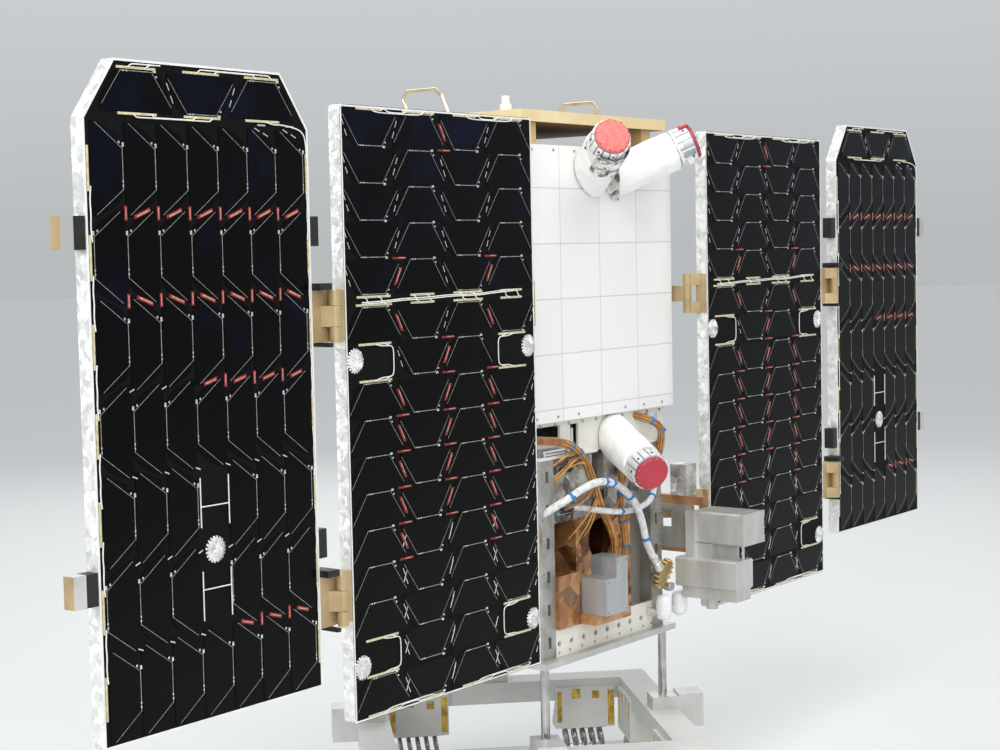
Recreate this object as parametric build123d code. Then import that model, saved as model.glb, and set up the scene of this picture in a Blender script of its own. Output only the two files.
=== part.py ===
from build123d import *
import os
from math import cos, pi, radians, sin, sqrt, tan

# A small satellite on its integration stand, with two solar wings deployed to its sides.
# Millimetres. X runs along the wings, the front with the radiator faces -Y, Z is up from the floor.
# The origin is on the floor, under the middle of the bus.

os.makedirs("parts", exist_ok=True)

# Round pieces that repeat are prisms with this many sides, so that the whole stays light.
barrel_sides = 24
small_sides = 12
bore_sides = 8
cable_sides = 6

# Stand: a square frame of flat bars turned by 45 degrees, on wire-rope isolators and a base ring.
post_x = 152
post_y = 164
post_radius = 6.35
foot_height = 6
foot_side = 44
base_thickness = 11
frame_opening = 393
bar_width = 48
bar_height = 34
bar_drop = 46
bracket_width = 98
bracket_height = 68
bracket_thickness = 6
bracket_reach = 38
bracket_corner_gap = 10.5
gusset_thickness = 4
isolator_height = 40
isolator_length = 72
isolator_inset = 18.5
isolator_bar_width = 14
isolator_bar_height = 6
isolator_loops = 5
loop_width = 38
loop_thickness = 5
loop_length = 7
clamp_side = 40
clamp_height = 20
clamp_block_reach = 38
clamp_block_drop = 27
clamp_block_rise = 24

# Lower bay, open in front.
bay_half_width = 154
bus_half_depth = 165
deck_overhang = 14
deck_thickness = 9
deck_underside = 258
column_width = 30
column_depth = 20
column_slots = 6
slot_width = 7
slot_height = 16
bay_wall = 4
rail_wall = 4
lower_rail_height = 40
lower_rail_foot = 16
rail_hole_radius = 4.2
rail_hole_pitch = 30
rail_hole_count = 8
rail_hole_height = 18
rail_hole_shift = -11
upper_rail_height = 52
upper_rail_setback = 12
upper_rail_overhang = 29
upper_shelf_depth = 55
rail_window_x = -54
rail_window_width = 20
rail_window_height = 32
rail_window_rise = 12
rail_gusset_reach = 34
rail_gusset_height = 34
tracker_notch_half_width = 44

# Upper bus, a closed box of honeycomb panels.
bus_half_width = 193
bus_floor = 600
bus_height = 386
bus_wall = 12

# Lifting plate on four spacers.
plate_half_width = 181
plate_thickness = 16
plate_gap = 31
spacer_side = 24
spacer_inset = 12
handle_rod_radius = 2.6
handle_length = 73
handle_bend = 10
handle_x = 150
knob_radius = 9
knob_height = 26
knob_top_radius = 6
knob_top_height = 12

# Solar wings.
panel_thickness = 18
panel_lead = 45
root_gap = 29
middle_gap = 55
inner_width = 372
inner_height = 732
inner_floor = 283.5
inner_corner_radius = 6
outer_width = 323
outer_height = 704
outer_floor = 340.5
outer_chamfer_width = 42
outer_chamfer_height = 61
disc_radius = 15
disc_thickness = 2.5
disc_inset = 15.5
disc_clearance = 0.5
inner_disc_rise = (65, 431.5)
outer_disc_rise = 184.5
tab_rise = (166.5, 527.5)
tab_height = 34
tab_reach = 15
tab_block_reach = 16

# Solar cells. Each is half of a round wafer, so its two corners beside the short side are cut off.
cell_long_side = 96
cell_corner_width = 23
cell_corner_height = 27
cell_pitch_long = 90
cell_pitch_short = 43.97
cell_gap = 1.6
cell_thickness = 0.6
cell_edge = 2
upper_rows = 5
inner_top_strip = 5.4
inner_bus_strip = 12
inner_disc_strip = 3
outer_strip = 10.8
outer_top_cells = 3

# Places that follow from the sizes above.
frame_half = frame_opening / 2
frame_reach = frame_half + bar_width
post_distance = (post_x + post_y) / sqrt(2)
stand_base_top = foot_height + base_thickness
isolator_top = stand_base_top + isolator_height
bar_floor = isolator_top + bar_drop
bar_top = bar_floor + bar_height
clamp_top = bar_top + clamp_height
deck_top = deck_underside + deck_thickness
bus_top = bus_floor + bus_height
plate_floor = bus_top + plate_gap
plate_top = plate_floor + plate_thickness
front = -bus_half_depth
column_back = front + column_depth
bay_inside = bay_half_width - column_width
wall_inside = bay_half_width - bay_wall
lower_rail_top = deck_top + lower_rail_height
upper_rail_floor = bus_floor - upper_rail_height
upper_rail_face = front + upper_rail_setback
panel_front = front - panel_lead
panel_back = panel_front + panel_thickness
inner_start = bus_half_width + root_gap
inner_end = inner_start + inner_width
outer_start = inner_end + middle_gap
outer_end = outer_start + outer_width
inner_middle = (inner_start + inner_end) / 2
outer_middle = (outer_start + outer_end) / 2
inner_disc_heights = [inner_floor + rise for rise in inner_disc_rise]
outer_disc_height = outer_floor + outer_disc_rise
cell_height = cell_pitch_short - cell_gap

# Hinges. The root axis lies behind the panel and the middle axis in front of the cells.
hinge_heights = (438, 770)
hinge_height = 60
hinge_pin_radius = 3
hinge_clearance = 0.2
knuckle_radius = 6.5
knuckle_gap = 0.5
hinge_plate = 4
root_foot_depth = 60
root_foot_setback = 25
root_arm_depth = 20
root_axis_gap = 14
root_axis_setback = 8
middle_axis_lead = 10
middle_block_gap = 5
middle_arm_width = 12
root_axis_x = bus_half_width + root_axis_gap
root_axis_y = panel_back + root_axis_setback
middle_axis_x = inner_end + middle_gap / 2
middle_axis_y = panel_front - middle_axis_lead


def slab(x, y, z):
    """A box between three (low, high) pairs."""
    size = [high - low for low, high in (x, y, z)]
    centre = [(high + low) / 2 for low, high in (x, y, z)]
    return Pos(*centre) * Box(*size)


def bar(centre, radius, length, axis, sides=barrel_sides):
    """A round bar centred on a point, along X, Y or Z, as a prism with this many sides."""
    turn = {"X": Rot(0, 90, 0), "Y": Rot(90, 0, 0), "Z": Rot(0, 0, 0)}[axis]
    return Pos(*centre) * turn * extrude(RegularPolygon(radius, sides), length / 2, both=True)


def bore(centre, radius, length, axis, sides=bore_sides):
    """The space for a round pin: a prism whose flats lie outside the radius."""
    return bar(centre, radius / cos(pi / sides), length, axis, sides)


def upright(sketch, back, depth):
    """Stands a flat outline up, its own Y along Z, from back towards the front."""
    return Pos(0, back, 0) * Rot(90, 0, 0) * extrude(sketch, depth, dir=(0, 0, 1))


def prism(points, low, high):
    """A flat outline seen from above, raised from low to high."""
    return Pos(0, 0, low) * extrude(Polygon(*points, align=None), high - low, dir=(0, 0, 1))


def side_prism(points, low, high):
    """An outline of (Y, Z) points, drawn out along X from low to high."""
    outline = Plane.YZ * Polygon(*points, align=None)
    return Pos(low, 0, 0) * extrude(outline, high - low, dir=(1, 0, 0))


def pointed(start, direction):
    """A frame at start whose Z axis runs along direction."""
    return Plane(origin=start, z_dir=direction).location


def write(name, *shapes):
    """Writes one node, which may hold several solids that stay apart."""
    solids = [solid for shape in shapes for solid in shape.solids()]
    export_step(Compound(children=solids), f"parts/{name}.step")


def both_sides(name, *shapes):
    """Writes a wing piece for the right side, and its mirror image for the left."""
    write(f"{name}_right", *shapes)
    write(f"{name}_left", *[mirror(shape, about=Plane.YZ) for shape in shapes])


# Stand. It is drawn square to the axes and then turned by 45 degrees.

def ring(floor, top):
    """Four flat bars around the opening."""
    height = top - floor
    outer = Box(2 * frame_reach, 2 * frame_reach, height)
    return Pos(0, 0, (floor + top) / 2) * (outer - Box(frame_opening, frame_opening, height))


def bracket():
    """An angle with two end gussets, its upright plate against X = 0 and its foot reaching to +X."""
    half = bracket_width / 2
    foot_top = isolator_top + bracket_thickness
    body = slab((-bracket_thickness, 0), (-half, half), (isolator_top, isolator_top + bracket_height))
    body += slab((-bracket_thickness, bracket_reach - bracket_thickness), (-half, half), (isolator_top, foot_top))
    outline = Plane.XZ * Polygon(
        (0, foot_top), (bracket_reach - bracket_thickness, foot_top), (0, bar_floor), align=None
    )
    for start in (-half, half - gusset_thickness):
        body += Pos(0, start, 0) * extrude(outline, gusset_thickness, dir=(0, 1, 0))
    return body


def isolator():
    """Two clamping bars joined by flat rope loops, standing on Z = 0 with its length along Y."""
    half = isolator_length / 2
    low = slab((-isolator_bar_width / 2, isolator_bar_width / 2), (-half, half), (0, isolator_bar_height))
    body = low + Pos(0, 0, isolator_height - isolator_bar_height) * low
    rise = isolator_height / 2 - isolator_bar_height
    side = loop_width / 2
    outline = Polygon((side, 0), (side / 2, rise), (-side / 2, rise), (-side, 0), (-side / 2, -rise), (side / 2, -rise))
    inner = rise - loop_thickness
    inside = side - loop_thickness
    hole = Polygon(
        (inside, 0), (inside / 2, inner), (-inside / 2, inner), (-inside, 0), (-inside / 2, -inner), (inside / 2, -inner)
    )
    loop = Pos(0, 0, isolator_height / 2) * Rot(90, 0, 0) * extrude(outline - hole, loop_length / 2, both=True)
    for number in range(isolator_loops):
        y = isolator_length * ((number + 0.5) / isolator_loops - 0.5)
        body += Pos(0, y, 0) * loop
    return body


def build_stand():
    turned = Rot(0, 0, 45)
    frame_solid = ring(bar_floor, bar_top)
    isolators = []
    along = frame_half - bracket_corner_gap - bracket_width / 2
    for turn in (0, 90, 180, 270):
        for side in (-1, 1):
            place = Rot(0, 0, turn) * Pos(frame_half, side * along, 0)
            frame_solid += place * bracket()
            isolators.append(turned * place * Pos(isolator_inset, 0, stand_base_top) * isolator())
    write("stand_frame", turned * frame_solid)
    write("wire_rope_isolators", *isolators)
    base = ring(foot_height, stand_base_top)
    for x in (-1, 1):
        for y in (-1, 1):
            corner = frame_half + bar_width / 2
            base += Pos(x * corner, y * corner, foot_height / 2) * Box(foot_side, foot_side, foot_height)
    write("stand_base", turned * base)
    posts = []
    clamps = []
    for x, y, turn in ((post_x, post_y, 0), (-post_x, post_y, 90), (-post_x, -post_y, 180), (post_x, -post_y, 270)):
        middle = (clamp_top + deck_underside) / 2
        posts.append(bar((x, y, middle), post_radius, deck_underside - clamp_top, "Z"))
        clamps.append(Pos(x, y, 0) * Rot(0, 0, 45 + turn) * post_clamp(frame_reach - post_distance))
    write("stand_posts", *posts)
    write("post_clamps", *clamps)


def post_clamp(edge):
    """A block under the post, and a deeper block outside the bar, whose outer face is at X = edge."""
    half = clamp_side / 2
    body = slab((-half, half), (-half, half), (bar_top, clamp_top))
    body += slab((half, edge), (-half, half), (bar_top, clamp_top))
    body += slab((edge, edge + clamp_block_reach), (-half, half), (bar_top - clamp_block_drop, bar_top + clamp_block_rise))
    return body


# Lower bay

def build_bay():
    deck_half_width = bay_half_width + deck_overhang
    deck_half_depth = bus_half_depth + deck_overhang
    deck = slab(
        (-deck_half_width, deck_half_width), (-deck_half_depth, deck_half_depth), (deck_underside, deck_top)
    )
    write("bottom_deck", deck)
    columns = []
    for side in (-1, 1):
        columns.append(column(side, -1, upper_rail_floor))
        columns.append(column(side, 1, bus_floor))
    write("bay_columns", *columns)
    walls = []
    for side in (-1, 1):
        faces = sorted((side * bay_half_width, side * wall_inside))
        walls.append(slab(faces, (column_back, -column_back), (deck_top, bus_floor)))
    write("bay_side_walls", *walls)
    rear = slab((-bay_inside, bay_inside), (bus_half_depth - bay_wall, bus_half_depth), (deck_top, bus_floor))
    write("bay_rear_wall", rear)
    write("lower_rail", lower_rail())
    write("upper_rail", upper_rail())


def column(side, end, top):
    """A corner column. The front ones have a row of slots and end under the upper rail."""
    x = side * (bay_half_width - column_width / 2)
    y = end * (bus_half_depth - column_depth / 2)
    height = top - deck_top
    body = Pos(x, y, deck_top + height / 2) * Box(column_width, column_depth, height)
    slots = column_slots if end < 0 else 0
    for number in range(slots):
        z = deck_top + height * (number + 0.5) / slots
        body -= Pos(x, y, z) * Box(slot_width, column_depth, slot_height)
    return body


def lower_rail():
    """An angle along the front of the bottom deck, with a row of holes."""
    rail = slab((-bay_inside, bay_inside), (front, front + rail_wall), (deck_top, lower_rail_top))
    rail += slab((-bay_inside, bay_inside), (front, front + lower_rail_foot), (deck_top, deck_top + rail_wall))
    for number in range(rail_hole_count):
        x = rail_hole_shift + (number - (rail_hole_count - 1) / 2) * rail_hole_pitch
        rail -= bore((x, front, deck_top + rail_hole_height), rail_hole_radius, 3 * rail_wall, "Y", small_sides)
    return rail


# Slots in the upper rail: middle, width, rise above the shelf, height.
rail_slots = (
    (-117, 56, 26, 19),
    (147, 36, 32, 11),
)


def upper_rail():
    """A web below the bus with a shelf on the columns, two slots, a window and gussets behind it."""
    half = bay_half_width + upper_rail_overhang
    floor = upper_rail_floor
    web_back = upper_rail_face + rail_wall
    rail = slab((-half, half), (upper_rail_face, web_back), (floor, bus_floor))
    rail += slab((-bay_half_width, bay_half_width), (front, column_back), (floor, floor + rail_wall))
    rail += slab((-wall_inside, wall_inside), (column_back, front + upper_shelf_depth), (floor, floor + rail_wall))
    notch_x = tracker_roots["lower"][0]
    rail -= slab(
        (notch_x - tracker_notch_half_width, notch_x + tracker_notch_half_width),
        (front, upper_rail_face),
        (floor, floor + rail_wall),
    )
    for x, width, rise, height in rail_slots:
        rail -= slab((x - width / 2, x + width / 2), (upper_rail_face, web_back), (floor + rise, floor + rise + height))
    rail -= slab(
        (rail_window_x - rail_window_width / 2, rail_window_x + rail_window_width / 2),
        (upper_rail_face, web_back),
        (floor + rail_window_rise, floor + rail_window_rise + rail_window_height),
    )
    foot = floor + rail_wall
    outline = ((web_back, foot), (web_back + rail_gusset_reach, foot), (web_back, foot + rail_gusset_height))
    for x in (rail_window_x, -rail_window_x / 2, -2 * rail_window_x):
        rail += side_prism(outline, x - gusset_thickness / 2, x + gusset_thickness / 2)
    return rail


# Upper bus

def build_bus():
    wide = (-bus_half_width, bus_half_width)
    tall = (bus_floor, bus_top)
    inner_x = bus_half_width - bus_wall
    inner_y = bus_half_depth - bus_wall
    write("radiator_panel", slab(wide, (front, front + bus_wall), tall))
    write("rear_panel", slab(wide, (inner_y, bus_half_depth), tall))
    write(
        "side_panels",
        slab((inner_x, bus_half_width), (-inner_y, inner_y), tall),
        slab((-bus_half_width, -inner_x), (-inner_y, inner_y), tall),
    )
    write("top_deck", slab((-inner_x, inner_x), (-inner_y, inner_y), (bus_top - bus_wall, bus_top)))
    write("middle_deck", slab((-inner_x, inner_x), (-inner_y, inner_y), (bus_floor, bus_floor + bus_wall)))


# Handles on the lifting plate: side, middle of the feet, how far the top leans along Y, rise.
handles = (
    (-1, 22, 16, 40),
    (1, -17, -11, 32),
)


def build_lifting_plate():
    plate = slab((-plate_half_width, plate_half_width), (-bus_half_depth, bus_half_depth), (plate_floor, plate_top))
    write("lifting_plate", plate)
    spacers = []
    for x in (-1, 1):
        for y in (-1, 1):
            place = (
                x * (plate_half_width - 2 * spacer_inset - spacer_side / 2),
                y * (bus_half_depth - spacer_inset - spacer_side / 2),
                bus_top + plate_gap / 2,
            )
            spacers.append(Pos(*place) * Box(spacer_side, spacer_side, plate_gap))
    write("plate_spacers", *spacers)
    write("lifting_handles", *[handle(*row) for row in handles])
    knob = bar((0, 0, plate_top + knob_height / 2), knob_radius, knob_height, "Z")
    knob += bar((0, 0, plate_top + knob_height + knob_top_height / 2), knob_top_radius, knob_top_height, "Z")
    write("lifting_knob", knob)


def handle(side, middle, lean, rise):
    """A bent rod along Y whose two legs lean, cut off level at the plate."""
    x = side * handle_x
    below = handle_rod_radius
    top = plate_top + rise
    slope = lean / rise
    ends = (middle - handle_length / 2, middle + handle_length / 2)
    bend = handle_bend
    path = Polyline(
        (x, ends[0] - below * slope, plate_top - below),
        (x, ends[0] + lean - bend * slope / 2, top - bend),
        (x, ends[0] + lean + bend, top),
        (x, ends[1] + lean - bend, top),
        (x, ends[1] + lean - bend * slope / 2, top - bend),
        (x, ends[1] - below * slope, plate_top - below),
    )
    section = Plane(origin=path @ 0, z_dir=path % 0) * RegularPolygon(handle_rod_radius, bore_sides)
    rod = sweep(section, path=path, transition=Transition.RIGHT)
    return rod - slab((x - 20, x + 20), (-bus_half_depth, bus_half_depth), (plate_top - 20, plate_top))


# Boxes in the lower bay. They stand on the deck, on the lower rail and on each other.
tank_x = (-50, 92)
tank_back = 40
tank_top = 452
tank_hole_x = 12
tank_hole_height = 417
tank_hole_radius = 30
tank_hole_depth = 60
stack_end = 0
stack_back = -40
stack_height = 91
rear_box_start = 30
rear_box_height = 88
wrapped_box_width = 50
wrapped_box_height = 76
wrapped_box_lead = 7
wrapped_shelf_lead = 35
wrapped_shelf_height = 15
wrapped_shelf_end = 14
wrapped_gap = 0.5
stepped_length = 54
stepped_step = 26
stepped_low_height = 52
stepped_height = 80
stepped_depth = 44
stepped_lead = 51
stepped_end = -17


def build_bay_boxes():
    rail_foot_back = front + lower_rail_foot
    tank = slab(tank_x, (rail_foot_back, tank_back), (deck_top, tank_top))
    hole_middle = rail_foot_back + tank_hole_depth / 2
    tank -= bar((tank_hole_x, hole_middle, tank_hole_height), tank_hole_radius, tank_hole_depth, "Y")
    write("wrapped_tank_box", tank)
    stack = slab((-wall_inside, stack_end), (column_back, stack_back), (tank_top, tank_top + stack_height))
    write("avionics_stack", stack)
    rear_box = slab((rear_box_start, wall_inside), (column_back, tank_back), (tank_top, tank_top + rear_box_height))
    write("rear_electronics_box", rear_box, small_box())
    wrapped_end = wrapped_box_width - bay_inside
    wrapped = slab(
        (-bay_inside, wrapped_end),
        (front - wrapped_box_lead, rail_foot_back),
        (lower_rail_top, lower_rail_top + wrapped_box_height),
    )
    shelf_top = lower_rail_top + wrapped_shelf_height
    shelf = slab(
        (wrapped_end + wrapped_gap, wrapped_shelf_end),
        (front - wrapped_shelf_lead, rail_foot_back),
        (lower_rail_top, shelf_top),
    )
    write("lower_wrapped_box", wrapped, shelf)
    start = stepped_end - stepped_length
    outline = Polygon(
        (start, shelf_top),
        (stepped_end, shelf_top),
        (stepped_end, shelf_top + stepped_height),
        (start + stepped_step, shelf_top + stepped_height),
        (start + stepped_step, shelf_top + stepped_low_height),
        (start, shelf_top + stepped_low_height),
        align=None,
    )
    write("stepped_box", upright(outline, front - stepped_lead + stepped_depth, stepped_depth))


# Outrigger at the right: a window bracket with two bars that carries two boxes in front of the bay.
bracket_wall = 4
bracket_back_gap = 2
bracket_lead = 53
bracket_floor = 386
bracket_top = 453
window_lead = 1
window_width = 17
window_rise = 31
window_height = 26
upper_bar_height = 13
lower_bar_height = 6
bar_depth = 14
upper_bar_lead = 74
lower_bar_lead = 42
small_box_lead = 17
small_box_depth = 28
small_box_width = 30
small_box_height = 47
strip_width = 4
strip_lead = 45
strip_depth = 16
strip_height = 71
outer_box_gap = 22
outer_box_rise = 10
spacer_lead = 57
spacer_depth = 32
spacer_width = 36
tongue_depth = 35
tongue_thickness = 4
tie_radius = 2
tie_setback = 8
upper_box_width = 62
upper_box_lead = 53
upper_box_length = 87
upper_box_height = 48
lid_thickness = 3
lid_ear = 2
lid_ear_height = 11
box_edge = 2.5
lower_box_inset = -11
lower_box_width = 50
lower_box_length = 105
lower_box_lead = 31
lower_box_height = 44
tub_height = 17
tub_inset = 5
tub_setback = 9
boss_radius = 9
boss_height = 17
boss_lead = 80


def small_box():
    """A small electronics box that stands on the upper bar of the outrigger."""
    low = bracket_top + upper_bar_height
    start = front - small_box_lead - small_box_depth
    return slab(
        (bay_half_width, bay_half_width + small_box_width),
        (start, start + small_box_depth),
        (low, low + small_box_height),
    )


def soft_box(x, y, z):
    """A box whose four long edges, along Y, are chamfered."""
    body = slab(x, y, z)
    return chamfer(body.edges().filter_by(Axis.Y), box_edge)


def build_outrigger():
    base_x = bay_half_width
    back = column_back - bracket_back_gap
    outer = base_x + bracket_wall
    plate = slab((base_x, outer), (front - bracket_lead, back), (bracket_floor, bracket_top))
    window_end = front - window_lead
    plate -= slab(
        (base_x, outer),
        (window_end - window_width, window_end),
        (bracket_floor + window_rise, bracket_floor + window_rise + window_height),
    )
    write("window_bracket", plate)
    upper_bar = slab(
        (base_x, base_x + bar_depth), (front - upper_bar_lead, back), (bracket_top, bracket_top + upper_bar_height)
    )
    lower_bar = slab(
        (base_x, base_x + bar_depth), (front - lower_bar_lead, back), (bracket_floor - lower_bar_height, bracket_floor)
    )
    write("outrigger_bars", upper_bar, lower_bar)
    upper_floor = bracket_floor + outer_box_rise
    upper_top = upper_floor + upper_box_height
    lower_top = upper_floor - outer_box_gap
    between = (lower_top, upper_floor)
    strip_front = front - strip_lead - strip_depth
    strip_x = (base_x - strip_width, base_x)
    mount = slab(strip_x, (strip_front, strip_front + strip_depth), (lower_top, lower_top + strip_height))
    spacer_back = front - spacer_lead
    spacer_front = spacer_back - spacer_depth
    mount += slab((base_x, base_x + spacer_width), (spacer_front, spacer_back), between)
    middle_x = base_x + spacer_width / 2
    tongue_x = (middle_x - tongue_thickness / 2, middle_x + tongue_thickness / 2)
    mount += slab(tongue_x, (spacer_front - tongue_depth, spacer_front), between)
    upper_back = front - upper_box_lead
    upper_front = upper_back - upper_box_length
    tie_place = (middle_x, upper_front + tie_setback, sum(between) / 2)
    write("box_mount", mount, bar(tie_place, tie_radius, outer_box_gap, "Z", bore_sides))
    upper_x = (base_x, base_x + upper_box_width)
    upper_box = soft_box(upper_x, (upper_front, upper_back), (upper_floor, upper_top))
    lid_y = (upper_front - lid_thickness, upper_front)
    lid = slab(upper_x, lid_y, (upper_floor, upper_top))
    for low in (upper_floor, upper_top - lid_ear_height):
        lid += slab((upper_x[0], upper_x[1] + lid_ear), lid_y, (low, low + lid_ear_height))
    write("upper_aluminium_box", upper_box + lid)
    lower_x = (base_x + lower_box_inset, base_x + lower_box_inset + lower_box_width)
    lower_back = front - lower_box_lead
    lower_front = lower_back - lower_box_length
    lower_floor = lower_top - lower_box_height
    tub_floor = lower_floor - tub_height
    lower_box = soft_box(lower_x, (lower_front, lower_back), (lower_floor, lower_top))
    lower_box += slab(
        (lower_x[0] + tub_inset, lower_x[1] - tub_inset),
        (lower_front + 1, lower_back - tub_setback),
        (tub_floor, lower_floor),
    )
    boss_place = (sum(lower_x) / 2, front - boss_lead, tub_floor - boss_height / 2)
    lower_box += bar(boss_place, boss_radius, boss_height, "Z", small_sides)
    write("lower_aluminium_box", lower_box)


# Star trackers: root on the front of the bus, pointing direction.
tracker_radius = 31
tracker_ring_radius = 28
tracker_ring_length = 26
tracker_cap_radius = 25
tracker_cap_length = 5
tracker_length = 125
upper_tracker_rise = 346
lower_tracker_drop = 34
tracker_roots = {
    "upper_left": (-24, front, bus_floor + upper_tracker_rise),
    "upper_right": (48, front, bus_floor + upper_tracker_rise),
    "lower": (30, front, bus_floor - lower_tracker_drop),
}
tracker_directions = {
    "upper_left": (-0.57, -0.73, 0.40),
    "upper_right": (0.57, -0.73, 0.40),
    "lower": (-0.44, -0.80, -0.34),
}


def build_trackers():
    wraps = {}
    rings = []
    caps = {}
    wide = (-bus_half_width, bus_half_width)
    far_front = front - 2 * tracker_length
    in_front = slab(wide, (far_front, front), (0, 2 * bus_top))
    below_bus = in_front + slab(wide, (front, upper_rail_face), (0, bus_floor))
    barrel_end = tracker_length - tracker_ring_length - tracker_cap_length
    back = tracker_radius + upper_rail_setback
    for name, root in tracker_roots.items():
        place = pointed(root, tracker_directions[name])
        outline = RegularPolygon(tracker_radius, barrel_sides)
        barrel = place * Pos(0, 0, -back) * extrude(outline, barrel_end + back)
        wraps[name] = barrel & (below_bus if name == "lower" else in_front)
        ring_place = place * Pos(0, 0, barrel_end)
        rings.append(ring_place * extrude(RegularPolygon(tracker_ring_radius, barrel_sides), tracker_ring_length))
        cap_place = place * Pos(0, 0, tracker_length - tracker_cap_length)
        caps[name] = cap_place * extrude(RegularPolygon(tracker_cap_radius, barrel_sides), tracker_cap_length)
    write("upper_tracker_wraps", wraps["upper_left"] + wraps["upper_right"])
    write("lower_tracker_wrap", wraps["lower"])
    write("tracker_rings", *rings)
    write("upper_tracker_caps", caps["upper_left"], caps["upper_right"])
    write("lower_tracker_cap", caps["lower"])


# Harness in the bay: name, radius, route, and the face that each end is cut off at.
seat_gap = 0.3
seat_cut_depth = 60
cables = (
    (
        "amber_long",
        5.5,
        (
            (-176, -152, 579),
            (-134, -178, 576),
            (-92, -176, 566),
            (-57, -172, 543),
            (-32, -168, 510),
            (-10, -166, 466),
            (20, -166, 430),
            (34, -164, 392),
            (44, -145, 352),
        ),
    ),
    (
        "amber_short",
        4.5,
        ((74, -143, 531), (52, -164, 503), (38, -166, 466), (50, -166, 425), (62, -163, 390), (66, -147, 350)),
    ),
    (
        "amber_right",
        5,
        ((100, -148, 592), (124, -174, 584), (150, -177, 560), (148, -162, 515)),
    ),
    (
        "white_long",
        5.5,
        (
            (-146, -160, 472),
            (-122, -186, 492),
            (-92, -192, 505),
            (-52, -194, 512),
            (-8, -194, 503),
            (36, -194, 474),
            (58, -194, 438),
            (66, -194, 405),
            (84, -194, 383),
        ),
    ),
    (
        "white_short",
        4.5,
        ((-50, -143, 470), (-18, -179, 463), (26, -182, 456), (72, -182, 456), (112, -180, 468), (142, -162, 488)),
    ),
)


def cable(name, radius, route):
    """A cable of even thickness along its route, with an arc in each corner."""
    points = [Vector(*point) for point in route]
    radii = []
    for before, corner, after in zip(points, points[1:], points[2:]):
        turn = radians((corner - before).get_angle(after - corner))
        shorter = min((corner - before).length, (after - corner).length)
        radii.append(0.45 * shorter / tan(turn / 2))
    print(name, "diameter", 2 * radius, "bend radii", [round(value) for value in radii])
    path = FilletPolyline(*points, radius=radii)
    section = Plane(origin=path @ 0, z_dir=path % 0) * RegularPolygon(radius, cable_sides)
    return sweep(section, path=path)


# Gold disc with its backshell, two white caps and a round stub at the right front of the bay.
gold_centre = (121, front - 22, 351)
gold_normal = (0.24, -0.91, -0.33)
gold_radius = 24.5
gold_rim_radius = 21.5
gold_thickness = 12
gold_teeth = 16
neck_radius = 9
neck_x = 130
shell_radius = 7.5
shell_length = 28
cap_radius = 12
cap_height = 38
cap_edge = 5
cap_lead = 25
cap_middle = 300
cap_xs = (118, 163)
stub_height = 14
ball_place = (147, 327)
ball_radius = 7.5
ball_length = 24


def gold_disc():
    """A toothed disc on a neck from the column, with the cable's backshell at its upper edge."""
    outline = []
    for tooth in range(gold_teeth):
        for share, radius in ((0, gold_radius), (0.5, gold_radius), (0.5, gold_rim_radius), (1, gold_rim_radius)):
            angle = 2 * pi * (tooth + share) / gold_teeth
            outline.append((radius * cos(angle), radius * sin(angle)))
    place = pointed(gold_centre, gold_normal)
    disc_solid = place * extrude(Polygon(*outline, align=None), gold_thickness / 2, both=True)
    neck_length = front - gold_centre[1]
    neck = bar((neck_x, front - neck_length / 2, gold_centre[2]), neck_radius, neck_length, "Y", small_sides)
    end = Vector(*cables[3][2][-1])
    start = Vector(*cables[3][2][-2])
    along = (end - start).normalized()
    shell_start = end + along * seat_gap
    shell = pointed(shell_start, along) * extrude(RegularPolygon(shell_radius, small_sides), shell_length)
    return disc_solid + neck + shell


def white_cap(x):
    """A capped cylinder that stands in front of the bay on a stub."""
    middle = front - cap_lead
    upright_bar = bar((x, middle, cap_middle), cap_radius, cap_height, "Z", small_sides)
    ends = upright_bar.faces().filter_by(Axis.Z).edges()
    body = chamfer(ends, cap_edge)
    stub_x = min(x, bay_half_width)
    return body + slab((stub_x - cap_radius, stub_x), (middle, front), (cap_middle - stub_height, cap_middle))


def build_harness():
    solids = {name: cable(name, radius, route) for name, radius, route in cables}
    behind = {
        "amber_long": ((-200, -60), upper_rail_face),
        "amber_short": ((60, 100), column_back),
        "amber_right": ((90, 120), upper_rail_face),
        "white_long": ((-170, -130), front),
        "white_short": ((-70, -30), column_back),
    }
    for name, (x, face) in behind.items():
        solids[name] -= slab(x, (face - seat_gap, face + seat_cut_depth), (0, bus_top))
    rail_foot_back = front + lower_rail_foot
    for name in ("amber_long", "amber_short"):
        solids[name] -= slab(tank_x, (rail_foot_back - seat_gap, 0), (deck_top, tank_top))
    for name in ("amber_right", "white_short"):
        solids[name] -= slab((bay_inside, bay_half_width), (front - seat_gap, 0), (deck_top, upper_rail_floor))
    ball = bar((ball_place[0], front - ball_length / 2, ball_place[1]), ball_radius, ball_length, "Y", small_sides)
    write("bay_harness", *solids.values(), gold_disc(), *[white_cap(x) for x in cap_xs], ball)


# Solar wings, built for the right side and mirrored for the left.

def inner_panel():
    outline = Pos(inner_middle, inner_floor + inner_height / 2) * RectangleRounded(
        inner_width, inner_height, inner_corner_radius
    )
    return upright(outline, panel_back, panel_thickness)


def outer_panel():
    top = outer_floor + outer_height
    shoulder = top - outer_chamfer_height
    outline = Polygon(
        (outer_start, outer_floor),
        (outer_end, outer_floor),
        (outer_end, shoulder),
        (outer_end - outer_chamfer_width, top),
        (outer_start + outer_chamfer_width, top),
        (outer_start, shoulder),
        align=None,
    )
    return upright(outline, panel_back, panel_thickness)


def disc(x, z):
    return bar((x, panel_front - disc_thickness / 2, z), disc_radius, disc_thickness, "Y", small_sides)


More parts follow.
